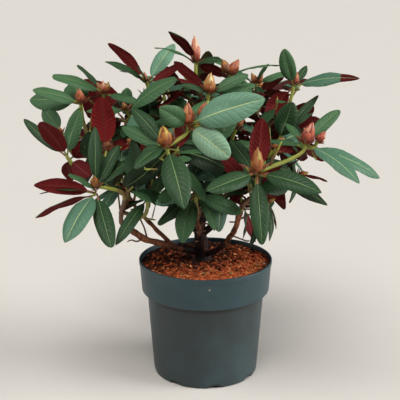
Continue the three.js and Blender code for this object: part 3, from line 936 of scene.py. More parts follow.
MASSES: dict[str, Mass] = {
    "foliage_left_low": Mass("bough_left_low", (
        Rosette((-166, -140, 358), (95, 20), via=(-128, -118, 346), whorl=1, bud=0.85, tints=(Tint.RUST,),
            leaves=((92, -22, 96, 20, 0.6), (62, -36, 82, 10, 0.7), (34, -38, 92, 0, 0.7),
                (136, 36, 62, 20, 0.75), (-126, 54, 108, 0, 0.95), (-66, 48, 102, 0, 0.75),
                (174, -6, 98, -110, 0.7), (-176, -16, 96, -45, 0.4), (-170, 42, 112, -60, 0.45)),
            tones="111231111"),
        Rosette((-90, -100, 332), (75, 20), whorl=5, bud=0.4, tints=(Tint.RUST,),
            leaves=((-132, 50, 104, 0, 0.55),), tones="1"),
        Rosette((-136, -60, 358), (110, 10), whorl=9),
    )),
    "foliage_left_tip": Mass("bough_left_thin", (
        Rosette((-200, -20, 468), (95, 10), whorl=3, bud=0.72, tints=(Tint.CORAL,),
            leaves=((158, 28, 84, 35, 0.85), (178, -18, 92, 45, 1.1), (-114, 52, 56, 0, 0.6)), tones="221"),
        Rosette((-228, -40, 422), (115, 5), whorl=1, bud=0.35, tints=(Tint.RUST,),
            leaves=((134, -32, 60, 15, 1.2),), tones="2"),
        Rosette((-218, -70, 392), (125, 15), whorl=1, bud=0,
            leaves=((72, 10, 82, 45), (142, -18, 96, 5, 0.5), (118, 28, 84, -40), (-90, -26, 46, -70, 1.5),
                (-24, 46, 60, -170, 1.2), (38, -46, 58, -110, 1.2)), tones="211111"),
        Rosette((-158, -50, 396), (80, -30), whorl=5,
            leaves=((92, 16, 96, -20, 1.05),), tones="3"),
    )),
    "foliage_left_top": Mass("bough_left_high", (
        Rosette((-166, 20, 478), (95, 0), bud=0.6, buds=3, tints=(Tint.TAN, Tint.PINK, Tint.ORANGE),
            leaves=((156, 28, 96, 35, 0.8), (136, -22, 70, 0, 0.5), (-10, 24, 68, 30, 0.7),
                (-160, -30, 36, 0, 0.7)), tones="2121"),
        Rosette((-98, 30, 496), (100, 5), bud=0.5, slim=0.8, tints=(Tint.PINK,),
            leaves=((136, -14, 90, -95, 0.6), (148, 28, 84, 30, 0.8), (148, 40, 62, 0, 0.45),
                (30, 2, 70, -120, 0.55), (54, -38, 96, 30, 0.8), (-82, 42, 76), (112, 32, 44, 50, 0.9)),
            tones="1122411"),
        Rosette((-128, -10, 456), (110, 30), whorl=9, bud=0.55),
    )),
    "foliage_front_left": Mass("bough_front_left", (
        Rosette((-58, -170, 430), (98, 24), whorl=1, bud=1.08, tints=(Tint.ORANGE,),
            leaves=((-70, 44, 108), (-158, 52, 76, 10, 0.8), (-178, 46, 50, 20, 0.9), (-26, -30, 112, 30),
                (136, -32, 90, 20, 0.7), (160, -36, 92, 20, 0.7), (-136, -22, 100, 105, 1.1)),
            tones="1110120"),
        Rosette((-28, -150, 458), (88, 18), parent=0, whorl=1, bud=1.15, tints=(Tint.CORAL,),
            leaves=((22, 16, 124, 55), (-32, 28, 82, 50, 1.25), (138, 38, 66, 90, 1.3)), tones="452"),
        Rosette((-8, -146, 468), (72, 12), parent=1, bud=0.82, tints=(Tint.CORAL,)),
        Rosette((-116, -60, 408), (120, 25), whorl=8, bud=0.5,
            leaves=((-174, -38, 44, -140, 1.1),), tones="1"),
    )),
    "foliage_front_low": Mass("bough_front_low", (
        Rosette((-16, -110, 342), (95, 25), whorl=4, bud=0.55, tints=(Tint.RUST,),
            leaves=((-108, 36, 82, 0, 1.1), (-16, 26, 80, 10, 0.95), (-56, 46, 72, -45),
                (-146, 18, 74, 0, 0.9)), tones="2221"),
        Rosette((32, -70, 348), (60, 30), whorl=7, bud=0.5),
    )),
    "foliage_centre": Mass("bough_centre", (
        Rosette((4, -70, 492), (84, 8), whorl=4, bud=1.1, tints=(Tint.CREAM,),
            leaves=((142, -32, 82, -75, 0.8), (158, 20, 50, 20, 0.8), (10, -20, 80, 10, 0.8),
                (28, -6, 70, 30, 0.8)), tones="1122"),
        Rosette((12, -80, 406), (80, 25), whorl=9),
        Rosette((-40, -70, 386), (100, 25), whorl=9),
    )),
    "foliage_top": Mass("bough_top", (
        Rosette((-16, 0, 530), (93, -5), bud=1.25, slim=0.65, tints=(Tint.PINK,),
            leaves=((128, 26, 76), (162, -26, 80, 0, 0.5), (16, 50, 66, 20, 0.9)), tones="121"),
        Rosette((38, -10, 512), (88, 0), bud=0.95, buds=2, tints=(Tint.RUST, Tint.CORAL),
            leaves=((14, 18, 84, 0, 0.6), (168, -36, 60, -60)), tones="21"),
        Rosette((-70, 40, 480), (105, 0), whorl=8, bud=0),
    )),
    "foliage_right_high": Mass("bough_right_high", (
        Rosette((142, 0, 494), (75, 0), whorl=2, bud=0.75, curled=(2,), tints=(Tint.CORAL,),
            leaves=((108, 20, 68, 120), (50, -40, 50, 20, 0.7), (14, 32, 116, 45, 0.75),
                (-136, 10, 64, -105, 1.2)), tones="2132"),
        Rosette((84, 30, 492), (88, 0), whorl=3, bud=0.65, buds=2, tints=(Tint.TAN, Tint.AMBER),
            leaves=((62, 20, 42, 45), (18, -24, 60, 15, 0.8), (-62, 62, 32, 40, 1.2)), tones="121"),
        Rosette((118, -30, 412), (60, 5), whorl=5, bud=0,
            leaves=((48, -8, 94, 0, 0.5), (40, 4, 70, 20, 0.6), (74, 18, 72, 140, 1.3)), tones="111"),
    )),
    "foliage_right": Mass("bough_right", (
        Rosette((148, -40, 354), (20, 10), whorl=2, bud=0.5, tints=(Tint.ORANGE,),
            leaves=((2, 44, 60, 20, 0.5), (-110, 38, 50, 0, 0.8)), tones="11"),
        Rosette((64, -12, 296), (-70, 10), bud=0,
            leaves=((-72, 24, 64, -40, 0.65), (-92, 12, 58, 20, 0.6)), tones="01"),
        Rosette((108, -60, 398), (60, 10), whorl=8,
            leaves=((34, 48, 50, 40),), tones="1"),
        Rosette((48, -50, 434), (80, 15), whorl=9),
    )),
    "foliage_front_right": Mass("bough_front_right", (
        Rosette((74, -165, 390), (90, 24), bud=1.3, slim=0.7, tints=(Tint.AMBER,),
            leaves=((-170, 36, 92, 20, 0.9), (-86, 30, 108, 0, 0.7), (-10, 28, 104, 20, 0.85),
                (-22, 8, 114, 0, 0.6), (132, -42, 76, 20, 0.9), (84, -16, 86, -175, 0.95)), tones="111011"),
        Rosette((148, -135, 426), (75, 8), parent=0, bud=1, tints=(Tint.ROSE,),
            leaves=((40, -24, 78, 25, 0.7), (-30, 40, 108, 15, 0.8), (-24, -4, 128, 20, 0.75),
                (134, -52, 60, 20, 0.6), (180, -38, 72, 20, 0.6), (-38, -40, 60, -40)), tones="233221"),
        Rosette((166, -130, 428), (55, 10), parent=1, bud=0.7, tints=(Tint.ROSE,)),
        Rosette((96, -80, 324), (20, 30), whorl=3, bud=0.5, tints=(Tint.ORANGE,),
            leaves=((-88, 44, 72, 0, 0.6), (-70, -4, 52, -40, 0.7), (-112, 34, 80, 30, 0.45)), tones="110"),
    )),
    "foliage_back_left": hidden(
        "bough_back_left",
        ((-184, 92, 410), (140, -30), Tint.CORAL),
        ((-138, 156, 392), (120, -50), Tint.ORANGE),
        ((-130, 112, 430), (130, -55), Tint.TAN),
    ),
    "foliage_back": hidden(
        "bough_back",
        ((-44, 204, 420), (100, -50), Tint.ORANGE),
        ((44, 200, 380), (70, -60), Tint.CORAL),
        ((-4, 136, 458), (92, -45), Tint.CREAM),
        ((-76, 148, 344), (130, -40), Tint.RUST),
    ),
    "foliage_back_right": hidden(
        "bough_back_right",
        ((132, 100, 384), (40, -40), Tint.CORAL),
        ((126, 160, 396), (60, -55), Tint.CREAM),
        ((92, 116, 466), (75, -35), Tint.ORANGE),
        ((112, 128, 330), (20, -50), Tint.RUST),
    ),
}

# ---- the growing rule


@dataclass(frozen=True)
class LeafRule:
    """The proportions of a leaf, as shares of its length unless they say otherwise."""

    length: float = 96  # mm
    half_width: float = 0.19
    petiole: float = 0.15  # the part without blade
    fold: float = 14  # degrees that each half of the blade rises from the midrib
    bow: float = 0.07
    varied: Pair = (0.8, 1.08)  # lengths of the seeded ones

    def outline(self, s: Array) -> Array:
        """Gives the share of the full half width at shares of the length."""
        along = np.clip((s - self.petiole) / (1 - self.petiole), 0, 1)
        return np.maximum(np.sin(math.pi * along**0.92), 0) ** 0.72


@dataclass(frozen=True)
class TwigRule:
    """How the stem and the twigs of a mass run, in mm where they don't say otherwise."""

    radius: float = 3.4
    stem_radius: float = 4.4
    gap: float = 0.3  # from the bough's tip to the stem
    straight: float = 9  # the stem's foot, in line with the bough
    hub: float = 0.3  # share of the way to the rosettes at which the twigs part
    forward: float = 8  # from there on in line with the bough
    feet: Pair = (0.15, 0.13)  # shares of the stem from its end: the first foot and each further step
    tail: float = 36  # the twig's end, in line with its rosette
    young_tail: float = 12
    over: float = 6  # how far it goes on above its rosette


@dataclass(frozen=True)
class WhorlRule:
    """How the leaves of a rosette's spiral stand."""

    turn: float = 137.5  # degrees from one leaf to the next
    spread: Pair = (58, 112)  # degrees off the twig, youngest to oldest
    scatter: float = 14  # degrees over which chance moves that
    room: float = 36  # degrees kept free round a leaf that is given
    rise: float = 2.2  # mm along the twig
    given_rise: float = 0.6  # share of that for the leaves that are given
    first: int = 2  # rises from the rosette's spot down to the youngest
    bare: float = 0.12  # share of a leaf, from its root, that may touch anything
    crowded: float = 0.36  # share that may touch leaves of its own mass


@dataclass(frozen=True)
class FillRule:
    """How finer shoots and older leaves fill the crown behind the rosettes of the plan."""

    cell: float = 3.5  # mm, of the grid that they find room in
    step: float = 3.0  # mm between the spots of a leaf that are looked up there
    shoots: int = 7  # tried on each twig
    along: Pair = (0.2, 0.92)  # the stretch of a twig that bears them
    inner: Pair = (0.55, 0.98)  # the stretch of a bough that bears them
    bare: int = 5  # leafless twiglets tried on each bough
    bare_along: Pair = (0.3, 0.95)
    bare_reach: Pair = (16, 46)  # mm
    bare_radius: float = 1.5
    bare_lean: float = 0.7  # how far they lean along the bough
    bare_rise: float = 0.2  # how far they turn up
    knees: tuple[Pair, Pair] = ((0.35, 0.45), (0.7, -0.225))  # shares of one's reach: along it, and sideways
    look: float = 0.05  # share of a line over which its direction is taken
    spread: Pair = (35, 75)  # degrees off the twig
    rise: float = 0.45  # how far they turn up
    reach: Pair = (20, 46)  # mm
    radius: float = 1.7
    bend: float = 0.55  # share of the reach at which they turn up further
    over: float = 3  # mm that they go on above their leaves
    whorl: int = 8
    size: Pair = (0.52, 0.88)  # of a full leaf
    free: float = 0.3  # share of a leaf, from its root, that may touch anything
    fewest: int = 1  # leaves that a shoot needs to stay
    lowest: float = 292  # mm above the floor, under which no leaf reaches
    heart: Point = (0, 0, 290)  # mm: the middle of the crown's foot
    within: float = 4  # mm that a leaf may reach past its twig's end, seen from the heart
    centre: Point = (-12, 10, 395)  # mm: the middle of the egg that holds them all
    egg: Point = (205, 210, 122)  # mm: its half sizes
    flipped: float = 0.3  # share of the leaves that are twisted upside down


LEAF = LeafRule()
WHORL = WhorlRule()
FILL = FillRule()
TWIG = TwigRule()
BUD_RADIUS, BUD_HEIGHT = 12.0, 33.0
BUD_FAN = 56.0  # degrees over which several buds are spread
BUD_RISE = 2.0  # mm from a rosette's spot to its buds
BUD_SIZES = (0.85, 1.08)  # between which chance changes the size that the plan gives

ASKEW = (0.3, -1, 0.2)  # a direction that no rosette has
UP = np.array([0.0, 0.0, 1.0])
ACROSS = np.linspace(-1, 1, 9)  # places across a leaf at which its spots lie
TUBE_STEP = 5  # mm between the spots along a tube

# The ways that a spiral leaf tries to find room, as changes of its turn, spread and length.
TRIES = (
    (0, 0, 1), (14, 0, 1), (-14, 0, 1), (0, -14, 1), (0, 12, 1), (26, -8, 0.9), (-26, -8, 0.9),
    (40, 0, 0.8), (-40, 0, 0.8), (0, 0, 0.75),
)


class Draw(IntEnum):
    """What a repeatable number decides. What follows a draw is where its own numbers start."""

    TURN = 1
    SHOOT_TURN = 5
    TWIGLET_TURN = 7
    SPREAD = 20
    LENGTH = 40
    SIZE = 50
    BUD_SIZE = 60
    BUD_LOOKS = 70
    GIVEN_LOOKS = 80
    FLIP = 90
    LOOKS = 100
    SCAR = 200


class Key(IntEnum):
    """Where the keys of a mass's finer growth start."""

    ON_TWIG = 500
    ON_BOUGH = 900
    TWIGLET = 1300


@dataclass(frozen=True)
class Leaf:
    """One leaf: where its root is, how it lies, and how it was chosen."""

    root: Array
    along: Array
    up: Array
    side: Array
    length: float
    seed: float
    given: bool
    small: bool = False
    width: float = 1.0
    tone: Tone | None = None
    curled: bool = False

    @staticmethod
    def laid(
        root: Array, along: Array, axis: Array, length: float, seed: float,
        given: bool = False, roll: float = 0, width: float = 1,
    ) -> "Leaf":
        """Lays a leaf out with its upper face to the twig's axis.

        Args:
            root: Where it leaves the twig.
            along: The direction of its chord.
            axis: The twig's direction.
            length: Its length.
            seed: A number from 0 to 1 that varies its looks.
            given: Whether it stands in the plan.
            roll: Degrees that its upper face is turned to the front.
            width: Its share of the usual width.

        Returns:
            The leaf.
        """
        up = unit(axis - along * float(axis @ along))
        side = np.cross(up, along)
        turn = math.radians(roll if side[1] < 0 else -roll)
        face = up * math.cos(turn) + side * math.sin(turn)
        return Leaf(root, along, face, np.cross(face, along), length, seed, given, width=width)

    def spots(self, start: float, step: float = 4.0) -> Array:
        """Gives spots all over the leaf.

        Args:
            start: The share of its length at which they begin; they go on to its tip.
            step: How far apart they are along it, in mm.

        Returns:
            The spots.
        """
        rows = math.ceil(((1 - start) * self.length) / step)
        s = np.repeat(mix(start, 1, np.arange(rows + 1) / rows), len(ACROSS))
        a = np.tile(ACROSS, rows + 1)
        half = self.length * LEAF.half_width * self.width * LEAF.outline(s)
        rise = 4 * s * (1 - s) * LEAF.bow * self.length + abs(a) * half * math.tan(math.radians(LEAF.fold))
        spots = self.root + np.outer(s * self.length, self.along)
        return spots + np.outer(a * half, self.side) + np.outer(rise, self.up)


class Space:
    """A grid of small cells that notes which mass holds each part of the crown."""

    FREE = 0
    WOOD = -1  # holds what the trunk and the boughs fill
    REACH = 400.0
    BASE = 190.0

    def __init__(self, cell: float, padded: bool) -> None:
        """Starts empty.

        Args:
            cell: The size of a cell, in mm.
            padded: Whether what claims a cell also claims those round it.
        """
        self.cell = cell
        self.side = math.ceil(2 * self.REACH / cell)
        self.cells = np.full(self.side**3, self.FREE, np.int16)
        steps = np.arange(27) if padded else np.array([13])
        self._around = np.stack([steps % 3, steps // 3 % 3, steps // 9], axis=1) - 1

    def _index(self, spots: Array) -> Array:
        """Finds the cells of spots.

        Args:
            spots: The spots, in mm.

        Returns:
            The number of the cell of each that isn't under the grid.
        """
        origin = np.array([-self.REACH, -self.REACH, self.BASE])
        i, j, k = np.floor((spots - origin) / self.cell).astype(int).T
        cells = (k * self.side + j) * self.side + i
        return cells[cells >= 0]

    def claim(self, spots: Array, mass: int) -> None:
        """Gives a mass the cells round spots that nothing holds yet."""
        cells = self._index((spots[:, None, :] + self._around * self.cell).reshape(-1, 3))
        self.cells[cells[self.cells[cells] == self.FREE]] = mass

    def is_free(self, spots: Array, mass: int, alone: bool) -> bool:
        """Tells whether all the spots are free of other masses, or alone, of anything at all."""
        held = self.cells[self._index(spots)]
        return bool(((held == self.FREE) | (held == (self.FREE if alone else mass))).all())


BALL = np.vstack([np.zeros(3), np.eye(3), -np.eye(3)])  # the middle of a ball and spots on its face


def tube_spots(course: Course, girth: Callable[[Array], Array]) -> Array:
    """Gives spots along a tube's middle and surface, close enough to fill its cells.

    Args:
        course: The line of its middle.
        girth: What gives its radius at shares of its length.

    Returns:
        The spots.
    """
    shares = np.linspace(0, 1, math.ceil(course.length / TUBE_STEP) + 1)
    radii = girth(shares)[:, None, None]
    return (course.at(shares)[:, None, :] + BALL * radii).reshape(-1, 3)


@dataclass
class Twig:
    """A twig: its course and its radius."""

    course: Course
    radius: float
    young: bool = False  # green to its foot
    stem: bool = False  # brown to its tip

    def girth(self, shares: Array) -> Array:
        """Gives the radius at shares of the length."""
        return self.radius + 0 * shares


@dataclass
class Bud:
    """A flower bud: its foot, its direction, its size, its share of width and its colours."""

    foot: Array
    axis: Array
    size: float
    slim: float
    tint: Tint
    seed: float


@dataclass
class Seat:
    """Where a rosette stands: its spot, its direction, what varies it, and its plan."""

    at: Array
    axis: Array
    key: float
    plan: Rosette

    def given(self) -> list[Leaf]:
        """Lays out the leaves that the plan gives.

        Returns:
            The leaves.
        """
        made = []
        for i, (clock, toward, length, *roll) in enumerate(self.plan.leaves):
            root = self.at - self.axis * WHORL.rise * i * WHORL.given_rise
            seed = chance(self.key, Draw.GIVEN_LOOKS + i)
            leaf = Leaf.laid(root, heading(clock, toward), self.axis, length, seed, True, *roll)
            tone = Tone(int(self.plan.tones[i])) if self.plan.tones else None
            made.append(replace(leaf, curled=i in self.plan.curled, tone=tone))
        return made

    def spiral(self, i: int, change: Point) -> Leaf:
        """Lays out one leaf of the seeded spiral.

        Args:
            i: The leaf's number, from the youngest.
            change: What is added to its turn and its spread, and its share of its length.

        Returns:
            The leaf.
        """
        turn, spread, shrink = change
        first = unit(np.cross(ASKEW, self.axis))
        rounds = math.radians(360 * chance(self.key, Draw.TURN) + WHORL.turn * i + turn)
        scatter = WHORL.scatter * (chance(self.key, Draw.SPREAD + i) - 0.5)
        off = math.radians(mix(*WHORL.spread, (i + 0.5) / self.plan.whorl) + scatter + spread)
        out = radial(rounds, first, np.cross(self.axis, first))
        along = unit(self.axis * math.cos(off) + out * math.sin(off))
        length = LEAF.length * mix(*LEAF.varied, chance(self.key, Draw.LENGTH + i)) * shrink
        root = self.at - self.axis * WHORL.rise * (i + WHORL.first)
        return Leaf.laid(root, along, self.axis, length, chance(self.key, Draw.LOOKS + i))

    def buds(self) -> list[Bud]:
        """Lays out the buds above the leaves, fanned where there are several.

        Returns:
            The buds, from left to right.
        """
        made = []
        plan = self.plan
        for i in range(plan.buds if plan.bud else 0):
            fan = BUD_FAN * (i / (plan.buds - 1) - 0.5) if plan.buds > 1 else 0
            way = swung(self.axis, np.array([0.0, 1.0, 0.0]), fan)
            size = plan.bud * mix(*BUD_SIZES, chance(self.key, Draw.BUD_SIZE + i))
            tint = plan.tints[i % len(plan.tints)]
            seed = chance(self.key, Draw.BUD_LOOKS + i)
            made.append(Bud(self.at + way * BUD_RISE, way, size, plan.slim, tint, seed))
        return made


@dataclass
class Grown:
    """What a mass has grown."""

    name: str
    number: int
    plan: Mass
    twigs: list[Twig] = field(default_factory=list)
    leaves: list[Leaf] = field(default_factory=list)
    buds: list[Bud] = field(default_factory=list)


class Growth:
    """Grows every mass by the rule of the plant's solids: given leaves first, then the spirals."""

    def __init__(self) -> None:
        """Lays out the twigs, and claims room for them and for the limbs."""
        self.space = Space(5.0, padded=True)
        self.fine = Space(FILL.cell, padded=False)
        self.limbs = {"trunk": TRUNK, **BOUGHS}
        self.courses = {name: Course(limb.path) for name, limb in self.limbs.items()}
        for name, limb in self.limbs.items():
            self._claim_tube(self.courses[name], limb.girth, Space.WOOD)
        self.masses = [Grown(name, i, plan) for i, (name, plan) in enumerate(MASSES.items(), 1)]
        for mass in self.masses:
            mass.twigs = self._lay_twigs(mass.plan)
            for twig in mass.twigs:
                self._claim_tube(twig.course, twig.girth, mass.number)

    def _claim_tube(self, course: Course, girth: Callable[[Array], Array], mass: int) -> None:
        """Claims room for a mass's tube in both grids."""
        for space in (self.space, self.fine):
            space.claim(tube_spots(course, girth), mass)

    @staticmethod
    def _lay_twigs(plan: Mass) -> list[Twig]:
        """Lays out a mass's stem and its twigs.

        Args:
            plan: The plan of the mass.

        Returns:
            The stem, and then one twig to each rosette.
        """
        path = np.array(BOUGHS[plan.bough].path, float)
        way = unit(path[-1] - path[-2])
        mean = np.mean([r.at for r in plan.rosettes if r.parent is None], axis=0)
        start = path[-1] + way * TWIG.gap
        hub = mix(start, mean, TWIG.hub) + way * TWIG.forward
        stem = [start, start + way * TWIG.straight, hub]
        twigs = [Twig(Course(stem), TWIG.stem_radius, stem=True)]
        for i, rosette in enumerate(plan.rosettes):
            axis, at = heading(*rosette.lean), np.array(rosette.at, float)
            foot, tail = [mix(hub, stem[1], TWIG.feet[0] + TWIG.feet[1] * i), hub], TWIG.tail
            if rosette.parent is not None:
                foot, tail = [np.array(plan.rosettes[rosette.parent].at, float)], TWIG.young_tail
            neck = at - axis * tail if rosette.via is None else np.array(rosette.via, float)
            course = Course([*foot, neck, at + axis * TWIG.over])
            twigs.append(Twig(course, TWIG.radius, young=rosette.parent is not None))
        return twigs

    def _grow(self, mass: Grown, leaf: Leaf) -> bool:
        """Adds a leaf to its mass where it has room.

        Args:
            mass: The mass.
            leaf: The leaf.

        Returns:
            True where it was added.
        """
        if not self.space.is_free(leaf.spots(WHORL.bare), mass.number, False):
            return False
        if not leaf.given and not self.space.is_free(leaf.spots(WHORL.crowded), mass.number, True):
            return False
        self.space.claim(leaf.spots(WHORL.bare), mass.number)
        mass.leaves.append(leaf)
        return True

    def _seats(self) -> Iterator[tuple[Grown, Seat]]:
        """Goes through the rosettes of every mass.

        Yields:
            Each mass with the seat of one of its rosettes.
        """
        for mass in self.masses:
            for place, plan in enumerate(mass.plan.rosettes, mass.number * 10):
                yield mass, Seat(np.array(plan.at, float), heading(*plan.lean), place, plan)

    @staticmethod
    def _limit(twigs: Sequence[Twig]) -> float:
        """Gives how far from the crown's heart a leaf may reach beside twigs."""
        ends = np.array([twig.course.points[-1] for twig in twigs])
        return float(np.linalg.norm(ends - FILL.heart, axis=1).max()) + FILL.within

    def _fits(self, leaf: Leaf, mass: Grown, limit: float) -> bool:
        """Claims room for a fine leaf in the crown, clear of all that has grown.

        Args:
            leaf: The leaf.
            mass: Its mass.
            limit: How far from the crown's heart it may reach.

        Returns:
            True where it found room.
        """
        spots = leaf.spots(FILL.free, FILL.step)
        far = np.linalg.norm(spots - FILL.heart, axis=1).max()
        if spots[:, 2].min() <= FILL.lowest or far >= limit:
            return False
        if np.linalg.norm((spots - FILL.centre) / FILL.egg, axis=1).max() >= 1:
            return False
        if not self.fine.is_free(spots, mass.number, True):
            return False
        self.fine.claim(spots, mass.number)
        return True

    def _shoot(
        self, mass: Grown, course: Course, stretch: Pair, limit: float, key: float, i: int
    ) -> None:
        """Adds a finer shoot with its leaves to a twig or a bough, where enough of them find room.

        Args:
            mass: The mass that it belongs to.
            course: The line of what bears it.
            stretch: The shares of that line between which the shoots stand.
            limit: How far from the crown's heart its leaves may reach.
            key: What varies these shoots.
            i: Its number among them.
        """
        share = mix(*stretch, (i + chance(key, 3 * i)) / FILL.shoots)
        near = np.array([share - FILL.look, share, share + FILL.look]).clip(0, 1)
        points, first, second = course.frames(near)
        root = points[1]
        turn = math.radians(WHORL.turn * i + 360 * chance(key, Draw.SHOOT_TURN))
        off = math.radians(mix(*FILL.spread, chance(key, 3 * i + 1)))
        out = radial(turn, first[1], second[1]) * math.sin(off)
        way = unit(unit(points[2] - points[0]) * math.cos(off) + out + UP * FILL.rise)
        reach = mix(*FILL.reach, chance(key, 3 * i + 2))
        tip = root + way * reach
        axis = unit(way + UP * FILL.rise)
        seat = Seat(tip, axis, key * 3.7 + i, Rosette((0, 0, 0), (0, 0), whorl=FILL.whorl))
        grown = []
        for j in range(FILL.whorl):
            size = mix(*FILL.size, chance(key + i, Draw.SIZE + j))
            leaf = seat.spiral(j, (0, 0, size))
            flip = -1 if chance(key + i, Draw.FLIP + j) < FILL.flipped else 1
            leaf = replace(leaf, up=leaf.up * flip, side=leaf.side * flip, small=True)
            if self._fits(leaf, mass, limit):
                grown.append(leaf)
        if len(grown) >= FILL.fewest:
            mass.leaves += grown
            line = [root, root + way * reach * FILL.bend, tip + axis * FILL.over]
            mass.twigs.append(Twig(Course(line), FILL.radius))

    def _fill(self) -> None:
        """Fills every mass out with finer shoots, clear of all that has grown."""
        for mass in self.masses:
            for leaf in mass.leaves:
                self.fine.claim(leaf.spots(WHORL.bare, FILL.step), mass.number)
            for bud in mass.buds:
                axis = bud.foot + np.outer(np.linspace(0, BUD_HEIGHT * bud.size, 9), bud.axis)
                self.fine.claim((axis[:, None] + BALL * BUD_RADIUS).reshape(-1, 3), mass.number)
        for mass in self.masses:
            bough = self.courses[mass.plan.bough]
            for place, twig in enumerate(list(mass.twigs)):
                key = Key.ON_TWIG + mass.number * 10 + place
                for i in range(FILL.shoots):
                    self._shoot(mass, twig.course, FILL.along, self._limit([twig]), key, i)
            limit = self._limit(mass.twigs[:4])
            for i in range(FILL.shoots):
                self._shoot(mass, bough, FILL.inner, limit, Key.ON_BOUGH + mass.number, i)
            for i in range(FILL.bare):
                self._bare_twig(mass, bough, Key.TWIGLET + mass.number, i)

    def _bare_twig(self, mass: Grown, bough: Course, key: int, i: int) -> None:
        """Adds a short crooked twig without leaves to a bough, where it has room.

        Args:
            mass: The mass that it belongs to.
            bough: The line of the bough.
            key: What varies these twigs.
            i: Its number among them.
        """
        share = mix(*FILL.bare_along, (i + chance(key, 5 * i)) / FILL.bare)
        points, first, second = bough.frames(np.array([share, min(1, share + FILL.look)]))
        turn = math.radians(WHORL.turn * i + 360 * chance(key, Draw.TWIGLET_TURN))
        way = unit(radial(turn, first[0], second[0]) + unit(points[1] - points[0]) * FILL.bare_lean)
        reach = mix(*FILL.bare_reach, chance(key, 5 * i + 1))
        aside = np.array([chance(key, 5 * i + n) - 0.5 for n in (2, 3, 4)]) * reach
        tip = points[0] + way * reach + UP * reach * FILL.bare_rise
        knees = [mix(points[0], tip, place) + aside * bend for place, bend in FILL.knees]
        line = [points[0], *knees, tip]
        if self.fine.is_free(np.array(line[1:]), mass.number, True):
            mass.twigs.append(Twig(Course(line), FILL.bare_radius, stem=True))

    def grow(self) -> list[Grown]:
        """Grows the buds and leaves of every mass.

        Returns:
            The masses, in the order of the plan.
        """
        for mass, seat in self._seats():
            mass.buds += seat.buds()
            for leaf in seat.given():
                self._grow(mass, leaf)
        nearest = math.cos(math.radians(WHORL.room))
        for mass, seat in self._seats():
            for i in range(seat.plan.whorl):
                for change in TRIES:
                    leaf = seat.spiral(i, change)
                    near = any(float(other.along @ leaf.along) > nearest for other in seat.given())
                    if not near and self._grow(mass, leaf):
                        break
        self._fill()
        return self.masses


# ---- leaves


class LeafPart(Enum):
    """The parts of a leaf that have a finish of their own."""

    TOP = 0
    BELOW = 1
    RIB = 2
    RIB_BELOW = 3
    STALK = 4
    TIP = 5  # the upper face's last quarter


RIB_EDGE = 0.09  # places across a leaf, within which a point is on its midrib


@dataclass(frozen=True)
class LeafForm:
    """How finely a leaf is made: where its rings and its columns lie.

    The columns go from one edge of the blade to the other over its upper face, and back below.
    """

    rings: tuple[float, ...]
    above: tuple[float, ...]
    below: tuple[float, ...]

    def places(self, rings: Array, columns: Array) -> tuple[Array, Array]:
        """Gives the shares of the length at rings, and the places across from -1 to 1 at columns."""
        return np.array(self.rings)[rings], np.array(self.above + self.below)[columns]

    def angles(self) -> Array:
        """Gives where each column stands round the stalk, in radians."""
        lower = np.linspace(0.5, 1, len(self.below) + 2)[1:-1]
        return 2 * math.pi * np.concatenate([np.linspace(0, 0.5, len(self.above)), lower])

    @cached_property
    def template(self) -> Template:
        """The skin that is bent into the leaf.

        Returns:
            The skin, with its faces turned so that they are cut alike above and below.
        """
        plain = Template.sleeve(len(self.above) + len(self.below), len(self.rings) - 1)
        _, across = self.places(plain.rings, plain.columns)
        faces = [begun_at(face, lambda i: (-plain.rings[i], across[i])) for face in plain.faces]
        return replace(plain, faces=faces)

    def part(self, rings: Array, columns: Array) -> int:
        """Tells which part of the leaf a face belongs to.

        Args:
            rings: The rings of the face's points.
            columns: Their columns.

        Returns:
            The number of a LeafPart.
        """
        inner = columns[(rings > 0) & (rings < len(self.rings) - 1)]
        shares, across = self.places(rings, inner)
        if shares.max() <= LEAF.petiole + 0.02:
            return LeafPart.STALK.value
        lower = bool((inner >= len(self.above)).any())
        if (abs(across) < RIB_EDGE).all():
            return (LeafPart.RIB_BELOW if lower else LeafPart.RIB).value
        above = LeafPart.TIP if shares.min() >= 0.75 else LeafPart.TOP
        return (LeafPart.BELOW if lower else above).value


SMALL_LEAF = LeafForm((0, 0.13, 0.21, 0.42, 0.68, 0.9, 1), (1, 0.05, -0.05, -1), (-0.05, 0.05))
PLAIN_LEAF = LeafForm(
    (0, 0.13, 0.2, 0.34, 0.53, 0.73, 0.9, 0.97, 1), (1, 0.55, 0.04, -0.04, -0.55, -1), (-0.045, 0.045)
)
FINE_LEAF = LeafForm(
    (0, 0.04, 0.09, 0.14, 0.165, 0.2, 0.27, 0.36, 0.46, 0.56, 0.66, 0.75, 0.83, 0.895, 0.945, 0.98, 1),
    (1, 0.84, 0.55, 0.24, 0.032, -0.032, -0.24, -0.55, -0.84, -1),
    (-0.5, -0.04, 0.04, 0.5),
)


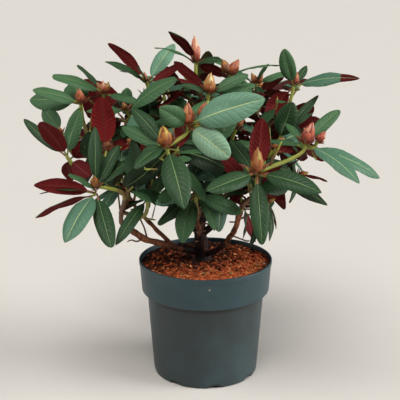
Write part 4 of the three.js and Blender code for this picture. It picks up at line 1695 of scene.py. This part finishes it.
@dataclass
class Leaves:
    """The leaves of the whole crown, in one piece for each mass."""

    # from darkest to palest: painted shade inside the crown to painted light on the leaves that face up and
    # out
    tops: tuple[LeafSkin, ...] = (
        LeafSkin("leaf_top_deep", (0.007, 0.020, 0.006), gloss=0.16, coat=0.02),
        LeafSkin("leaf_top_mid", (0.0155, 0.047, 0.015), gloss=0.24),
        LeafSkin("leaf_top_lit", (0.040, 0.104, 0.040)),
        LeafSkin("leaf_top_bright", (0.062, 0.148, 0.090)),
        LeafSkin("leaf_top_pale", (0.105, 0.220, 0.140)),
        LeafSkin("leaf_top_palest", (0.165, 0.285, 0.185)),
    )
    unders: tuple[LeafSkin, ...] = (
        LeafSkin("leaf_under_wine", (0.080, 0.005, 0.006), 0.12, 0.6, 0.0),
        LeafSkin("leaf_under_burgundy", (0.118, 0.008, 0.008), 0.12, 0.6, 0.0),
        # crimson is a paler copy of burgundy, for painted light on given leaves
        LeafSkin("leaf_under_crimson", (0.23, 0.018, 0.017), 0.12, 0.6, 0.0),
        LeafSkin("leaf_under_olive", (0.050, 0.052, 0.016), 0.15, 0.6, 0.0),
    )
    outward: float = 0.33  # how far out from the crown's middle the painted light comes, of how far up: leaves that face it get the palest tops
    inner: Pair = (0.45, 0.08)  # how much darker small and other seeded leaves are: painted shade inside the crown
    tones: tuple[float, ...] = (0.22, 0.52, 0.80)  # how far they face the painted light, between the tops
    mottle: float = 0.36  # how far chance moves them among the tops
    lower: Pair = (0.45, 0.93)  # shares with wine, and with wine or burgundy, below
    red_stalks: float = 0.25  # share
    ribs: tuple[LeafSkin, ...] = (
        LeafSkin("leaf_rib", (0.13, 0.20, 0.075), veins=0, relief=0.0002),
        LeafSkin("leaf_rib_below", (0.14, 0.026, 0.018), 0.25, 0.55, 0.0, veins=0, relief=0.0002),
        LeafSkin("leaf_rib_pale", (0.34, 0.42, 0.19), veins=0, relief=0.0002),
    )
    stalks: tuple[LeafSkin, ...] = (
        LeafSkin("leaf_stalk_green", (0.20, 0.23, 0.045), veins=0, relief=0.0002),
        LeafSkin("leaf_stalk_red", (0.24, 0.09, 0.04), veins=0, relief=0.0002),
    )
    widths: Point = (0.95, 0.16, 0.5)  # seeded ones' share, its change, a curled end's
    blunt: Pair = (0.62, 0.95)  # powers of the outline: the bluntest and the most pointed leaf
    thickness: float = 0.7  # mm
    stalk_radius: float = 1.35
    rib_depth: float = 0.8
    groove: float = 0.3
    crown: float = 0.13  # how far each half of the blade arches up, of the half width
    margin: float = 0.20  # how far its edge rolls down
    wave: float = 0.012  # how far the edge ripples
    ripples: Pair = (2.3, 1.6)  # how many there are along it, and radians between the two edges'
    twist: float = 16  # degrees at most, from root to tip
    curl: float = 50  # degrees more that a curled leaf's tip is turned
    sweep: float = 0.05  # how far the blade bows to a side
    droop: float = 0.035  # how far the tip nods

    def finishes(self) -> tuple[LeafSkin, ...]:
        """Lists the finishes in the order of the slots."""
        return self.tops + self.unders + self.ribs + self.stalks

    def _slots(self, leaves: Sequence[Leaf]) -> Array:
        """Deals out the finishes.

        Args:
            leaves: The leaves.

        Returns:
            The slots: leaves by parts, as LeafPart numbers them.
        """
        unders, ribs = len(self.tops), len(self.tops) + len(self.unders)
        stalks = ribs + len(self.ribs)
        table = []
        for leaf in leaves:
            # painted light and shade: the more a leaf faces up and out, the paler its top, and the small
            # ones inside are darker
            light = unit(unit(leaf.root * (1, 1, 0)) * self.outward + UP)
            faced = float(leaf.up @ light) + self.mottle * (chance(leaf.seed * 97, 3) - 0.5)
            faced = faced - (0 if leaf.given else self.inner[0] if leaf.small else self.inner[1])
            top = leaf.tone.value if leaf.tone else int(np.searchsorted(self.tones, faced))
            under = (0, 1, 3)[int(np.searchsorted(self.lower, chance(leaf.seed * 89, 5)))]
            # painted light: a given leaf's underside is paler the paler its top, up to crimson
            if leaf.given:
                under = min(top, 3) - 1 if top >= Tone.FRESH.value else min(under, 1)
            stalk = int(chance(leaf.seed * 83, 7) < self.red_stalks)
            tip = unders if leaf.curled else top
            # paler midribs on the palest tops go with their painted light
            rib = ribs + (2 if top >= Tone.WAXY.value else 0)
            table.append([top, unders + under, rib, ribs + 1, stalks + stalk, tip])
        return np.array(table)

    def _bent(self, leaves: Sequence[Leaf], form: LeafForm) -> Array:
        """Bends a skin into leaves.

        Args:
            leaves: The leaves.
            form: How finely they are made.

        Returns:
            Their points: leaves by points by 3.
        """
        template = form.template
        s, a = form.places(template.rings, template.columns)
        pole = template.poles
        a = np.where(pole, 0, a)
        layer = np.where(template.columns < len(form.above), 1, -1)
        layer = np.where(pole | (abs(a) > AT_EDGE), 0, layer)
        angle = form.angles()[template.columns]

        length = np.array([[leaf.length] for leaf in leaves])
        seeds = np.array([[chance(leaf.seed * 131, n) for n in range(5)] for leaf in leaves])[:, :, None]
        calm = np.array([[0.5 if leaf.given else 1.0] for leaf in leaves])
        sway = 2 * seeds - 1
        seeded, change, narrow = self.widths
        width = np.array([[leaf.width * (1 if leaf.given else seeded)] for leaf in leaves])
        width = width * (1 + change * (calm * 2 - 1) * sway[:, 0])
        curled = np.array([[float(leaf.curled)] for leaf in leaves])
        half = length * LEAF.half_width * width * LEAF.outline(s) ** mix(*self.blunt, seeds[:, 4])
        half = half * (1 - (1 - narrow) * curled * ease(0.45, 0.8, s))
        blade = ease(LEAF.petiole - 0.02, LEAF.petiole + 0.07, s)
        edge = abs(a) ** 3
        rise = half * (self.crown * np.sin(math.pi * abs(a)) + 0.1 * abs(a) - self.margin * edge)
        ripple = np.sin(2 * math.pi * (self.ripples[0] * s + seeds[:, 1]) + self.ripples[1] * np.sign(a))
        rise = rise + self.wave * length * ripple * edge * blade
        ridge = (abs(a) < RIB_EDGE) & ~pole
        taper = 1 - 0.7 * s
        rise = rise + layer * (self.thickness / 2) + np.where(ridge & (layer > 0), -self.groove * taper, 0)
        rise = rise + np.where(ridge & (layer < 0), -self.rib_depth * taper, 0)
        stalk = np.where(pole, 0, self.stalk_radius * (1.15 - 1.5 * s * (1 - blade)))
        across = mix(stalk * np.cos(angle), a * half, blade)
        upward = mix(stalk * np.sin(angle), rise, blade)

        turn = np.radians(self.twist * calm * sway[:, 2]) * (s - 0.2) * blade
        turn = turn + np.radians(self.curl) * curled * ease(0.5, 0.95, s)
        sideways = across * np.cos(turn) - upward * np.sin(turn)
        upward = across * np.sin(turn) + upward * np.cos(turn)
        arch = 4 * s * (1 - s)
        sideways = sideways + self.sweep * length * calm * sway[:, 3] * arch
        upward = upward + arch * LEAF.bow * length * (1 + 0.4 * sway[:, 4])
        upward = upward - self.droop * length * calm * ease(0.5, 1.0, s) * seeds[:, 1]
        frames = np.array([[leaf.root, leaf.along, leaf.side, leaf.up] for leaf in leaves])[:, :, None, :]
        root, along, side, up = frames.swapaxes(0, 1)
        spots = root + (length * s)[:, :, None] * along
        return spots + sideways[:, :, None] * side + upward[:, :, None] * up

    @staticmethod
    def _form(leaf: Leaf) -> LeafForm:
        """Chooses how finely a leaf is made."""
        return FINE_LEAF if leaf.given else SMALL_LEAF if leaf.small else PLAIN_LEAF

    def build(self, masses: Sequence[Grown]) -> None:
        """Makes one piece of leaves for each mass.

        Args:
            masses: What has grown.
        """
        skins = [skin.material() for skin in self.finishes()]
        for mass in masses:
            stock = Stock()
            for form in (SMALL_LEAF, PLAIN_LEAF, FINE_LEAF):
                template = form.template
                leaves = [leaf for leaf in mass.leaves if self._form(leaf) is form]
                if not leaves:
                    continue
                slots = self._slots(leaves)[:, template.marks(form.part)]
                flat = template.flat(*form.places(template.rings, template.columns))
                stock.add(template, self._bent(leaves, form), slots, *flat)
            made = stock.piece(mass.name.replace("foliage", "leaves"), skins)
            Piece.settle(made, "foliage", mass.name)


# ---- wood


@dataclass
class Wood:
    """The trunk and the boughs, with the relief of their bark."""

    bark: Bark = Bark("bark", (0.010, 0.004, 0.003), (0.085, 0.029, 0.013), (0.30, 0.115, 0.050))
    around: int = 16
    step: float = 3.5  # mm along a limb
    relief: float = 0.13  # of the radius
    knots: float = 0.22
    kink: float = 1.8  # mm that a limb strays from its line
    pitches: Pair = (17, 13)  # mm along a limb over which its kinks and its knots change
    furrows: Pair = (2.2, 14)  # how often the bark changes round a limb, and mm along it
    stock: Stock = field(default_factory=Stock)

    def _limb(self, course: Course, limb: Limb, seed: float) -> None:
        """Adds one limb.

        Args:
            course: The line of its middle.
            limb: Its radii.
            seed: What varies its bark.
        """
        along = math.ceil(course.length / self.step)
        template = Template.sleeve(self.around, along)
        shares = np.arange(along + 1) / along
        middles, first, second = course.frames(shares)
        kinks, knots = (shares * course.length / pitch for pitch in self.pitches)
        for way, phase in ((first, 31.0), (second, 57.0)):
            stray = np.array([noise.noise((place, seed + phase, 9)) for place in kinks])
            middles = middles + way * (self.kink * stray * np.sin(math.pi * shares))[:, None]
        swell = np.array([noise.noise((place, seed, 3)) for place in knots])
        radii = limb.girth(shares) * (1 + self.knots * swell)
        ring = template.rings
        wide, long = self.furrows
        grain = np.array([
            noise.fractal((seed + wide * math.cos(turn), wide * math.sin(turn), place / long), 0.8, 2.1, 4)
            for turn, place in zip(template.angles, shares[ring] * course.length, strict=True)
        ])
        reach = radii[ring] * (1 + self.relief * grain)
        self.stock.add(template, template.tube(middles[ring], (first[ring], second[ring]), reach), 0)

    def build(self, growth: Growth) -> None:
        """Makes the wood and lets it stand for the trunk and every bough.

        Args:
            growth: What has grown.
        """
        for i, (name, limb) in enumerate(growth.limbs.items()):
            self._limb(growth.courses[name], limb, 7.3 * i)
        Piece.settle(self.stock.piece("wood", [self.bark.material()]), "bark", *growth.limbs)


@dataclass
class Shoots:
    """The stems and twigs inside the masses: brown at the foot, green where they are young."""

    old: ScaleSkin = ScaleSkin("shoot_brown", (0.12, 0.055, 0.024), 0.6, ribs=0)
    middle: ScaleSkin = ScaleSkin("shoot_olive", (0.19, 0.15, 0.032), 0.55, ribs=0)
    young: ScaleSkin = ScaleSkin("shoot_green", (0.24, 0.26, 0.035), 0.5, ribs=0)
    around: int = 8
    step: float = 6  # mm along a twig
    ages: Pair = (0.4, 0.7)  # shares of its length where it turns olive and green
    taper: Pair = (1.05, 0.8)  # shares of its radius at foot and tip
    scars: float = 0.16  # how far they swell or pinch it
    stock: Stock = field(default_factory=Stock)

    def _twig(self, twig: Twig, seed: float) -> None:
        """Adds one twig, a little thinner to its tip, with swellings at old leaf scars.

        Args:
            twig: The twig.
            seed: What varies its scars.
        """
        along = max(6, math.ceil(twig.course.length / self.step))
        template = Template.sleeve(self.around, along)
        shares = np.arange(along + 1) / along
        middles, first, second = twig.course.frames(shares)
        scars = np.array([chance(seed, Draw.SCAR + i) for i in range(along + 1)])
        radii = twig.radius * mix(*self.taper, shares) * (1 + self.scars * (scars - 0.5))
        ring = template.rings
        limits = (0.0, 0.0) if twig.young else (1.0, 1.0) if twig.stem else self.ages
        slots = template.marks(lambda rings, _: int(np.searchsorted(limits, rings.mean() / along)))
        charts = np.stack([template.shares, template.columns / self.around], axis=1)
        spots = template.tube(middles[ring], (first[ring], second[ring]), radii[ring])
        self.stock.add(template, spots, slots, charts)

    def build(self, masses: Sequence[Grown]) -> None:
        """Makes all the twigs in one piece.

        Args:
            masses: What has grown.
        """
        for mass in masses:
            for i, twig in enumerate(mass.twigs):
                self._twig(twig, mass.number * 10 + i)
        skins = [skin.material() for skin in (self.old, self.middle, self.young)]
        Piece.settle(self.stock.piece("twigs", skins), "foliage")


# ---- flower buds


@dataclass
class Buds:
    """The flower buds: each a pointed cone of overlapping scales, with loose bracts round its foot."""

    around: int = 10
    along: int = 5
    heart_along: int = 8
    girth: float = 0.8  # of the solid bud's radius, without the scales' tips
    heart_height: float = 0.95  # of the bud's height
    outline: Point = (2.6, 0.48, 1.08)  # of the bud: its girth, and its powers at foot and tip
    scales: int = 11
    scale_starts: Pair = (-0.05, 0.50)  # of the bud's height, for the lowest and the highest
    scale_length: float = 0.62  # of the bud's height
    lengths: Pair = (0.62, 0.9)  # shares of that for the lowest and the highest
    scale_width: float = 66  # half of its spread round the bud, in degrees
    spreads: Pair = (1.0, 1.3)  # shares of that
    blade: Pair = (2.3, 0.8)  # powers of a scale's outline
    shell: Pair = (1.0, 0.92)  # how far out the lowest and the highest lie, of the bud's outline
    scale_thickness: float = 0.06  # of the radius
    lift: Pair = (0.2, 0.03)  # how far a scale's tip stands off, lowest and highest
    bulge: float = 0.3  # how round a scale is across, of the radius
    stages: Pair = (0.15, 0.65)  # shares of the scales where the colours of body and tip begin
    bracts: int = 8
    bract_length: Pair = (9, 19)  # mm
    bract_width: float = 2.5
    bract_thickness: float = 0.7
    bract_sunk: float = 4  # mm at most that its foot is under the bud
    bract_foot: float = 0.4  # how far out its foot is, of the bud's radius
    bract_hollow: float = 0.25
    bract_bend: float = 0.18  # how far its tip bends out, of its length
    flare: Pair = (28, 70)  # degrees that a bract leans out
    bract_skin: ScaleSkin = ScaleSkin("bud_bract", (0.19, 0.055, 0.024), 0.6, ribs=3)
    stock: Stock = field(default_factory=Stock)

    @cached_property
    def skin(self) -> Template:
        """The skin that is bent into scales and bracts."""
        return Template.sleeve(self.around, self.along)

    def _radius(self, rise: Array) -> Array:
        """Gives how wide the bud is.

        Args:
            rise: Shares of its height.

        Returns:
            The shares of its full radius there.
        """
        share = np.clip(rise, 0.03, 1)
        girth, foot, tip = self.outline
        return girth * share**foot * (1 - share) ** tip

    @staticmethod
    def _round(bud: Bud, rise: Array, reach: Array) -> tuple[Array, tuple[Array, Array], Array]:
        """Gives what stands round a bud's axis.

        Args:
            bud: The bud.
            rise: The height of each point, as a share of the bud's.
            reach: How far it is from the axis, as a share of the bud's radius.

        Returns:
            The axis at each point's height, two directions across it, and how far the point is.
        """
        side = unit(np.cross([0.0, 1.0, 0.0], bud.axis))
        middles = bud.foot + np.outer(rise * BUD_HEIGHT * bud.size, bud.axis)
        return middles, (side, np.cross(bud.axis, side)), reach * BUD_RADIUS * bud.size * bud.slim

    def _across(self) -> tuple[Array, Array]:
        """Lays the skin out flat.

        Returns:
            Each point's place across it from -1 to 1, and whether it is on its outer face.
        """
        half, columns, poles = self.around // 2, self.skin.columns, self.skin.poles
        turn = np.where(columns <= half, columns, self.around - columns)
        return np.where(poles, 0, np.cos(math.pi * turn / half)), (columns <= half) & ~poles

    def _heart(self, bud: Bud, slot: int) -> None:
        """Adds the solid inside a bud.

        Args:
            bud: The bud.
            slot: Its finish.
        """
        template = Template.sleeve(self.around, self.heart_along)
        rise = template.shares
        reach = self._radius(rise) * self.girth
        spots = template.tube(*self._round(bud, rise * self.heart_height, reach))
        self.stock.add(template, spots, slot)

    def _scale(self, bud: Bud, order: int, slots: tuple[int, int]) -> None:
        """Adds one scale.

        Args:
            bud: The bud.
            order: Its number, from the lowest.
            slots: The finishes of its middle and its edges.
        """
        share = order / (self.scales - 1)
        low = mix(*self.scale_starts, share**0.9)
        long = self.scale_length * mix(*self.lengths, share)
        s = self.skin.shares
        a, outer = self._across()
        blade = np.maximum(1 - s ** self.blade[0], 0) ** self.blade[1]
        rise = np.clip(low + s * long, self.scale_starts[0], 1.0)
        turn = math.radians(WHORL.turn * order + 360 * bud.seed)
        angle = turn + math.radians(self.scale_width * mix(*self.spreads, share)) * a * blade
        body = self._radius(rise) * mix(*self.shell, share)
        off = body + mix(*self.lift, share) * s**2 + np.where(outer, self.scale_thickness, 0.0)
        off = off - self.bulge * a**2
        middles, ways, reach = self._round(bud, rise, np.maximum(off, 0.02) * self.girth)
        spots = middles + radial(angle, *ways) * reach[:, None]
        last = self.around // 2
        edges = ({0, 1}, {last - 1, last})
        rim = self.skin.marks(lambda _, columns: int(any(set(columns) <= edge for edge in edges)))
        self.stock.add(self.skin, spots, np.array(slots)[rim], *self.skin.flat(s, a))

    def _bract(self, bud: Bud, order: int, slot: int) -> None:
        """Adds one of the narrow bracts that stand off round a bud's foot.

        Args:
            bud: The bud.
            order: Its number.
            slot: Its finish.
        """
        s = self.skin.shares
        a, outer = self._across()
        middles, ways, radius = self._round(bud, 0 * s, 1.0)
        out = radial(math.radians(WHORL.turn * order + 250 * bud.seed), *ways)
        flat = np.cross(bud.axis, out)
        lean = math.radians(mix(*self.flare, chance(bud.seed * 61, order)))
        way = bud.axis * math.cos(lean) + out * math.sin(lean)
        length = mix(*self.bract_length, chance(bud.seed * 67, order)) * bud.size**0.5
        half = self.bract_width * np.sin(math.pi * (0.2 + 0.8 * s)) ** 0.8 * bud.size**0.5
        skin = np.where(self.skin.poles, 0, np.where(outer, -0.5, 0.5) * self.bract_thickness)
        skin = skin - self.bract_hollow * half * a**2
        foot = out * (radius * self.bract_foot)
        foot = foot - bud.axis * self.bract_sunk * chance(bud.seed * 71, order)
        spots = middles + foot + np.outer(s * length, way) + np.outer(a * half, flat)
        spots = spots + np.outer(self.bract_bend * length * s**2, out) + np.outer(skin, np.cross(flat, way))
        self.stock.add(self.skin, spots, slot, *self.skin.flat(s, a))

    def build(self, masses: Sequence[Grown]) -> None:
        """Makes all the buds in one piece.

        Args:
            masses: What has grown.
        """
        tints, parts = list(Tint), ("base", "body", "tip")
        for bud in (bud for mass in masses for bud in mass.buds):
            base = len(parts) * tints.index(bud.tint)
            self._heart(bud, base)
            for order in range(self.scales):
                share = order / (self.scales - 1)
                stage = int(np.searchsorted(self.stages, share, side="right"))
                if order % 3 == 1:
                    stage = min(stage, 1)
                self._scale(bud, order, (base + stage, base + max(0, stage - 1)))
            for order in range(self.bracts):
                self._bract(bud, order, len(parts) * len(tints))
        skins = [
            ScaleSkin(f"bud_{tint.name.lower()}_{part}", colour).material()
            for tint in tints
            for part, colour in zip(parts, tint.value, strict=True)
        ]
        Piece.settle(self.stock.piece("buds", [*skins, self.bract_skin.material()]), "foliage")


# ---- pot and soil


@dataclass
class Pot:
    """The round nursery pot, with a deep collar and drain notches round its foot."""

    height: float = 201
    rim_radius: float = 112.5
    collar_foot_radius: float = 108.5
    collar_foot: float = 147
    body_top_radius: float = 99.5
    base_radius: float = 89
    wall: float = 2.2
    lip: float = 1.4
    floor: float = 8
    drains: int = 8
    drain_width: float = 17
    drain_height: float = 5
    drain_depth: float = 14  # from the foot's edge inward
    first_drain: float = -125  # degrees
    steps: int = 144
    plastic: Plastic = Plastic(
        "pot_plastic",
        colour=(0.011, 0.036, 0.045),
        dust=(0.042, 0.085, 0.096),
        grime_and_shade=(0.013, 0.016, 0.014),
        shadow=(0.003, 0.005, 0.005),
        collar=0.147,
    )
    mark: Point = (-87, 184, 1.6)  # the moulding point: degrees, height, radius
    mark_skin: Crumb = Crumb("pot_mark", (0.30, 0.25, 0.20))

    def body_radius(self, z: float) -> float:
        """Gives the outer radius below the collar."""
        return mix(self.base_radius, self.body_top_radius, z / self.collar_foot)

    def _profile(self) -> list[Pair]:
        """Gives the wall's outline.

        Returns:
            Radius and height of each point, from the underside's middle to the floor's.
        """
        rim, collar, base = self.rim_radius, self.collar_foot_radius, self.base_radius
        top, foot, body, wall = self.height, self.collar_foot, self.body_radius, self.wall
        return rounded([
            (0, 0, 0), (base - 16, 0, 0), (base - 5, 0, 0), (base - 0.4, 0, 4),
            (body(12), 12, 0), (body(70), 70, 0), (body(foot - 0.4), foot - 0.4, 1.2),
            (collar - 0.3, foot, 2.6), (collar + 0.4, foot + 10, 0),
            (rim - 1.0, top - 9, 2), (rim, top - 7.5, 1), (rim + 0.2, top, 1.5),
            (rim - wall - self.lip, top, 1.4), (rim - wall - self.lip - 0.2, top - 4, 1),
            (collar - wall, foot + 4, 0), (body(foot) - wall, foot - 4, 0),
            (body(self.floor) - wall, self.floor, 0), (0, self.floor, 0),
        ])

    def build(self) -> None:
        """Makes the pot and cuts its drain notches."""
        work = turned(self._profile(), self.steps)
        half = math.degrees(self.drain_width / 2 / self.base_radius)
        pitch = 360 / self.drains
        inner = self.base_radius - self.drain_depth
        for vert in work.verts:
            angle = math.degrees(math.atan2(vert.co.y, vert.co.x)) - self.first_drain
            off = abs((angle + pitch / 2) % pitch - pitch / 2)
            if off < half and vert.co.xy.length > inner and vert.co.z < self.drain_height:
                vert.co.z = self.drain_height
        Piece.settle(Piece.of_work("nursery_pot", work, [self.plastic.material()]), "pot", "pot")

        turn, height, radius = self.mark
        share = (height - self.collar_foot) / (self.height - self.collar_foot)
        seat = Matrix.Translation((mix(self.collar_foot_radius, self.rim_radius, share) - 0.6, 0, height))
        placed = Matrix.Rotation(math.radians(turn), 4, "Z") @ seat @ Matrix.Diagonal((0.5, 1, 1, 1))
        work = bmesh.new()
        bmesh.ops.create_uvsphere(work, u_segments=16, v_segments=8, radius=radius, matrix=placed)
        Piece.settle(Piece.of_work("pot_mark", work, [self.mark_skin.material()]), "pot")


@dataclass
class Soil:
    """The root ball's top: a rough bed of bark and peat under loose crumbs."""

    bed: Earth = Earth(
        "soil_bed", ((0.020, 0.007, 0.004), (0.16, 0.040, 0.014), (0.40, 0.085, 0.026), (0.60, 0.17, 0.055))
    )
    crumbs: tuple[tuple[Crumb, float], ...] = (
        (Crumb("crumb_dark", (0.022, 0.007, 0.004)), 0.16),
        (Crumb("crumb_brown", (0.20, 0.048, 0.016)), 0.36),
        (Crumb("crumb_rust", (0.47, 0.090, 0.026)), 0.82),
        (Crumb("crumb_tan", (0.62, 0.22, 0.078)), 0.988),
        (Crumb("crumb_moss", (0.20, 0.21, 0.05)), 0.996),
        (Crumb("crumb_white", (0.66, 0.60, 0.52)), 1.0),
    )
    count: int = 4200
    sizes: Pair = (1.2, 4.8)  # mm
    small: float = 2.2  # how much commoner the small ones are
    widths: Pair = (0.28, 0.7)  # of a crumb's length
    heights: Pair = (0.2, 0.5)
    tilt: float = 0.45  # radians, as they lie
    sunk: float = 0.22  # how high a crumb's middle is over the bed, of its size
    darkness: Point = (0.5, 2.3, 1.6)  # how much darker crumbs are anywhere, behind and to the left with painted shade, and in clumps
    shade: float = 3.0  # how much darker they are by the trunk: painted shadow of the crown
    clump: float = 16  # mm
    lump: float = 22
    swell: float = 3.2  # how high the bed's lumps are
    mound: float = 3.0  # how far it rises to the trunk
    rings: int = 44
    steps: int = 150
    seed: int = 11

    def _height(self, x: float, y: float, reach: float) -> float:
        """Gives the bed's height.

        Args:
            x: The place to the right of the pot's axis.
            y: The place behind it.
            reach: The bed's radius.

        Returns:
            The height there.
        """
        far = math.hypot(x, y) / reach
        lumps = noise.fractal((x / self.lump, y / self.lump, 5.0), 0.9, 2.0, 4) * self.swell
        return SOIL_TOP - 1.0 + self.mound * (1 - far * far) + lumps * min(1, 4 * (1 - far) + 0.3)

    def build(self, pot: Pot) -> None:
        """Makes the bed and strews it with crumbs.

        Args:
            pot: The pot that it fills.
        """
        reach = mix(pot.collar_foot_radius, pot.rim_radius, 0.85) - pot.wall - 0.6
        rings = [(reach * i / self.rings, SOIL_TOP) for i in range(self.rings + 1)]
        foot = (pot.collar_foot_radius - pot.wall - 1, pot.collar_foot + 6)
        work = turned([*rings, foot, (0, foot[1])], self.steps)
        for vert in work.verts:
            if vert.co.z > SOIL_TOP - 1:
                vert.co.z = self._height(vert.co.x, vert.co.y, reach)
        Piece.settle(Piece.of_work("soil_bed", work, [self.bed.material()]), "soil", "soil")
        self._strew(reach)

    def _strew(self, reach: float) -> None:
        """Strews the bed with crumbs.

        Args:
            reach: The bed's radius.
        """
        rng = np.random.default_rng(self.seed)
        template = Template.sleeve(5, 3)
        tall, wide = (f(math.pi * template.rings / template.along) for f in (np.cos, np.sin))
        lump = np.stack([wide * np.cos(template.angles), wide * np.sin(template.angles), -tall], axis=1)
        spots, slots = [], []
        limits = [limit for _, limit in self.crumbs]
        everywhere, aside, in_clumps = self.darkness
        for _ in range(self.count):
            far, turn = (reach - 1.5) * math.sqrt(rng.random()), 2 * math.pi * rng.random()
            x, y = far * math.cos(turn), far * math.sin(turn)
            size = mix(*self.sizes, rng.random() ** self.small)
            shape = np.array([1, mix(*self.widths, rng.random()), mix(*self.heights, rng.random())])
            shape = lump * (size * shape) * mix(0.8, 1.2, rng.random((len(lump), 1)))
            spin = Matrix.Rotation(2 * math.pi * rng.random(), 3, "Z")
            spin = spin @ Matrix.Rotation(rng.normal() * self.tilt, 3, "X")
            place = (x, y, self._height(x, y, reach) + size * self.sunk)
            spots.append(shape @ np.array(spin).T + place)
            clump = noise.fractal((x / self.clump, y / self.clump, 9.0), 0.8, 2.0, 3)
            # painted shade behind and to the left, lighter to the front and right, painted shadow by the
            # trunk, and darker clumps
            darkness = everywhere + aside * (y - 0.75 * x) / reach + in_clumps * clump
            darkness += self.shade * (1 - far / reach) ** 2
            slots.append(int(np.searchsorted(limits, rng.random() ** (2**darkness))))
        stock = Stock()
        stock.add(template, np.array(spots), np.array(slots)[:, None])
        crumbs = stock.piece("soil_crumbs", [crumb.material() for crumb, _ in self.crumbs])
        for polygon in crumbs.data.polygons:
            polygon.use_smooth = False
        Piece.settle(crumbs, "soil")


# ---- studio


@dataclass
class Camera:
    """The camera at the plant's front, a little above it."""

    place: Point = (-0.0093, -1.484, 0.714)  # metres
    pitch: float = 15.51  # degrees below level
    view: float = 24.47  # degrees across the square frame

    def build(self) -> None:
        """Makes the camera and puts it in use."""
        data = bpy.data.cameras.new("camera")
        data.sensor_width = 36
        data.lens = 18 / math.tan(math.radians(self.view / 2))
        camera = bpy.data.objects.new("camera", data)
        camera.location = self.place
        camera.rotation_euler = (math.radians(90 - self.pitch), 0, 0)
        bpy.context.scene.collection.objects.link(camera)
        bpy.context.scene.camera = camera


@dataclass(frozen=True)
class Glow:
    """A broad soft light that comes from one side: how it is turned, how strong and how wide it is."""

    name: str
    turn: Point  # degrees, from straight down
    strength: float
    spread: float  # degrees
    colour: Colour = (1.0, 0.985, 0.96)

    def build(self) -> None:
        """Makes the light."""
        data = bpy.data.lights.new(self.name, "SUN")
        data.energy = self.strength
        data.angle = math.radians(self.spread)
        data.color = self.colour
        made = bpy.data.objects.new(self.name, data)
        made.rotation_euler = tuple(math.radians(turn) for turn in self.turn)
        bpy.context.scene.collection.objects.link(made)


@dataclass
class Studio:
    """A pale floor under soft light."""

    floor_size: float = 30.0  # metres
    floor_colour: Colour = (0.57, 0.547, 0.518)
    floor_cloud: Colour = (0.50, 0.478, 0.45)
    sky: Colour = (0.86, 0.835, 0.795)  # seen past the floor's edge, and lights nothing
    lights: tuple[Glow, ...] = (
        Glow("light_broad", (30, -10, 0), 3.0, 44, (1.0, 0.975, 0.93)),
        Glow("light_over", (8, -4, 0), 0.45, 90, (0.93, 0.97, 1.0)),
        Glow("light_right", (0, 68, -10), 3.4, 36),
        Glow("light_left", (0, -68, 0), 0.8, 36),
    )

    def build(self) -> None:
        """Makes the floor, the sky and the lights."""
        work = bmesh.new()
        bmesh.ops.create_grid(work, x_segments=2, y_segments=2, size=self.floor_size / 2 / MM)
        board = Board("floor_paint")
        cloud = board.grain(3, 3)
        board.dress(
            Base_Color=board.blend(cloud * 0.3, self.floor_colour, self.floor_cloud), Roughness=0.7
        )
        floor = Piece.of_work("floor", work, [board.material])
        world = bpy.data.worlds.new("sky")
        world.use_nodes = True
        back = next(n for n in world.node_tree.nodes if n.type == "BACKGROUND")
        back.inputs["Color"].default_value = (*self.sky, 1.0)
        bpy.context.scene.world = world
        world.cycles_visibility.diffuse = world.cycles_visibility.glossy = False
        bpy.context.scene.view_settings.view_transform = "Standard"
        for light in self.lights:
            light.build()


# ---- the whole plant


def main() -> None:
    """Builds the plant, its pot and the studio."""
    logging.basicConfig(level=logging.INFO, format="%(message)s")
    Camera().build()
    Studio().build()
    pot = Pot()
    pot.build()
    Soil().build(pot)
    growth = Growth()
    masses = growth.grow()
    Wood().build(growth)
    Shoots().build(masses)
    Leaves().build(masses)
    Buds().build(masses)


if __name__ == "__main__":
    main()
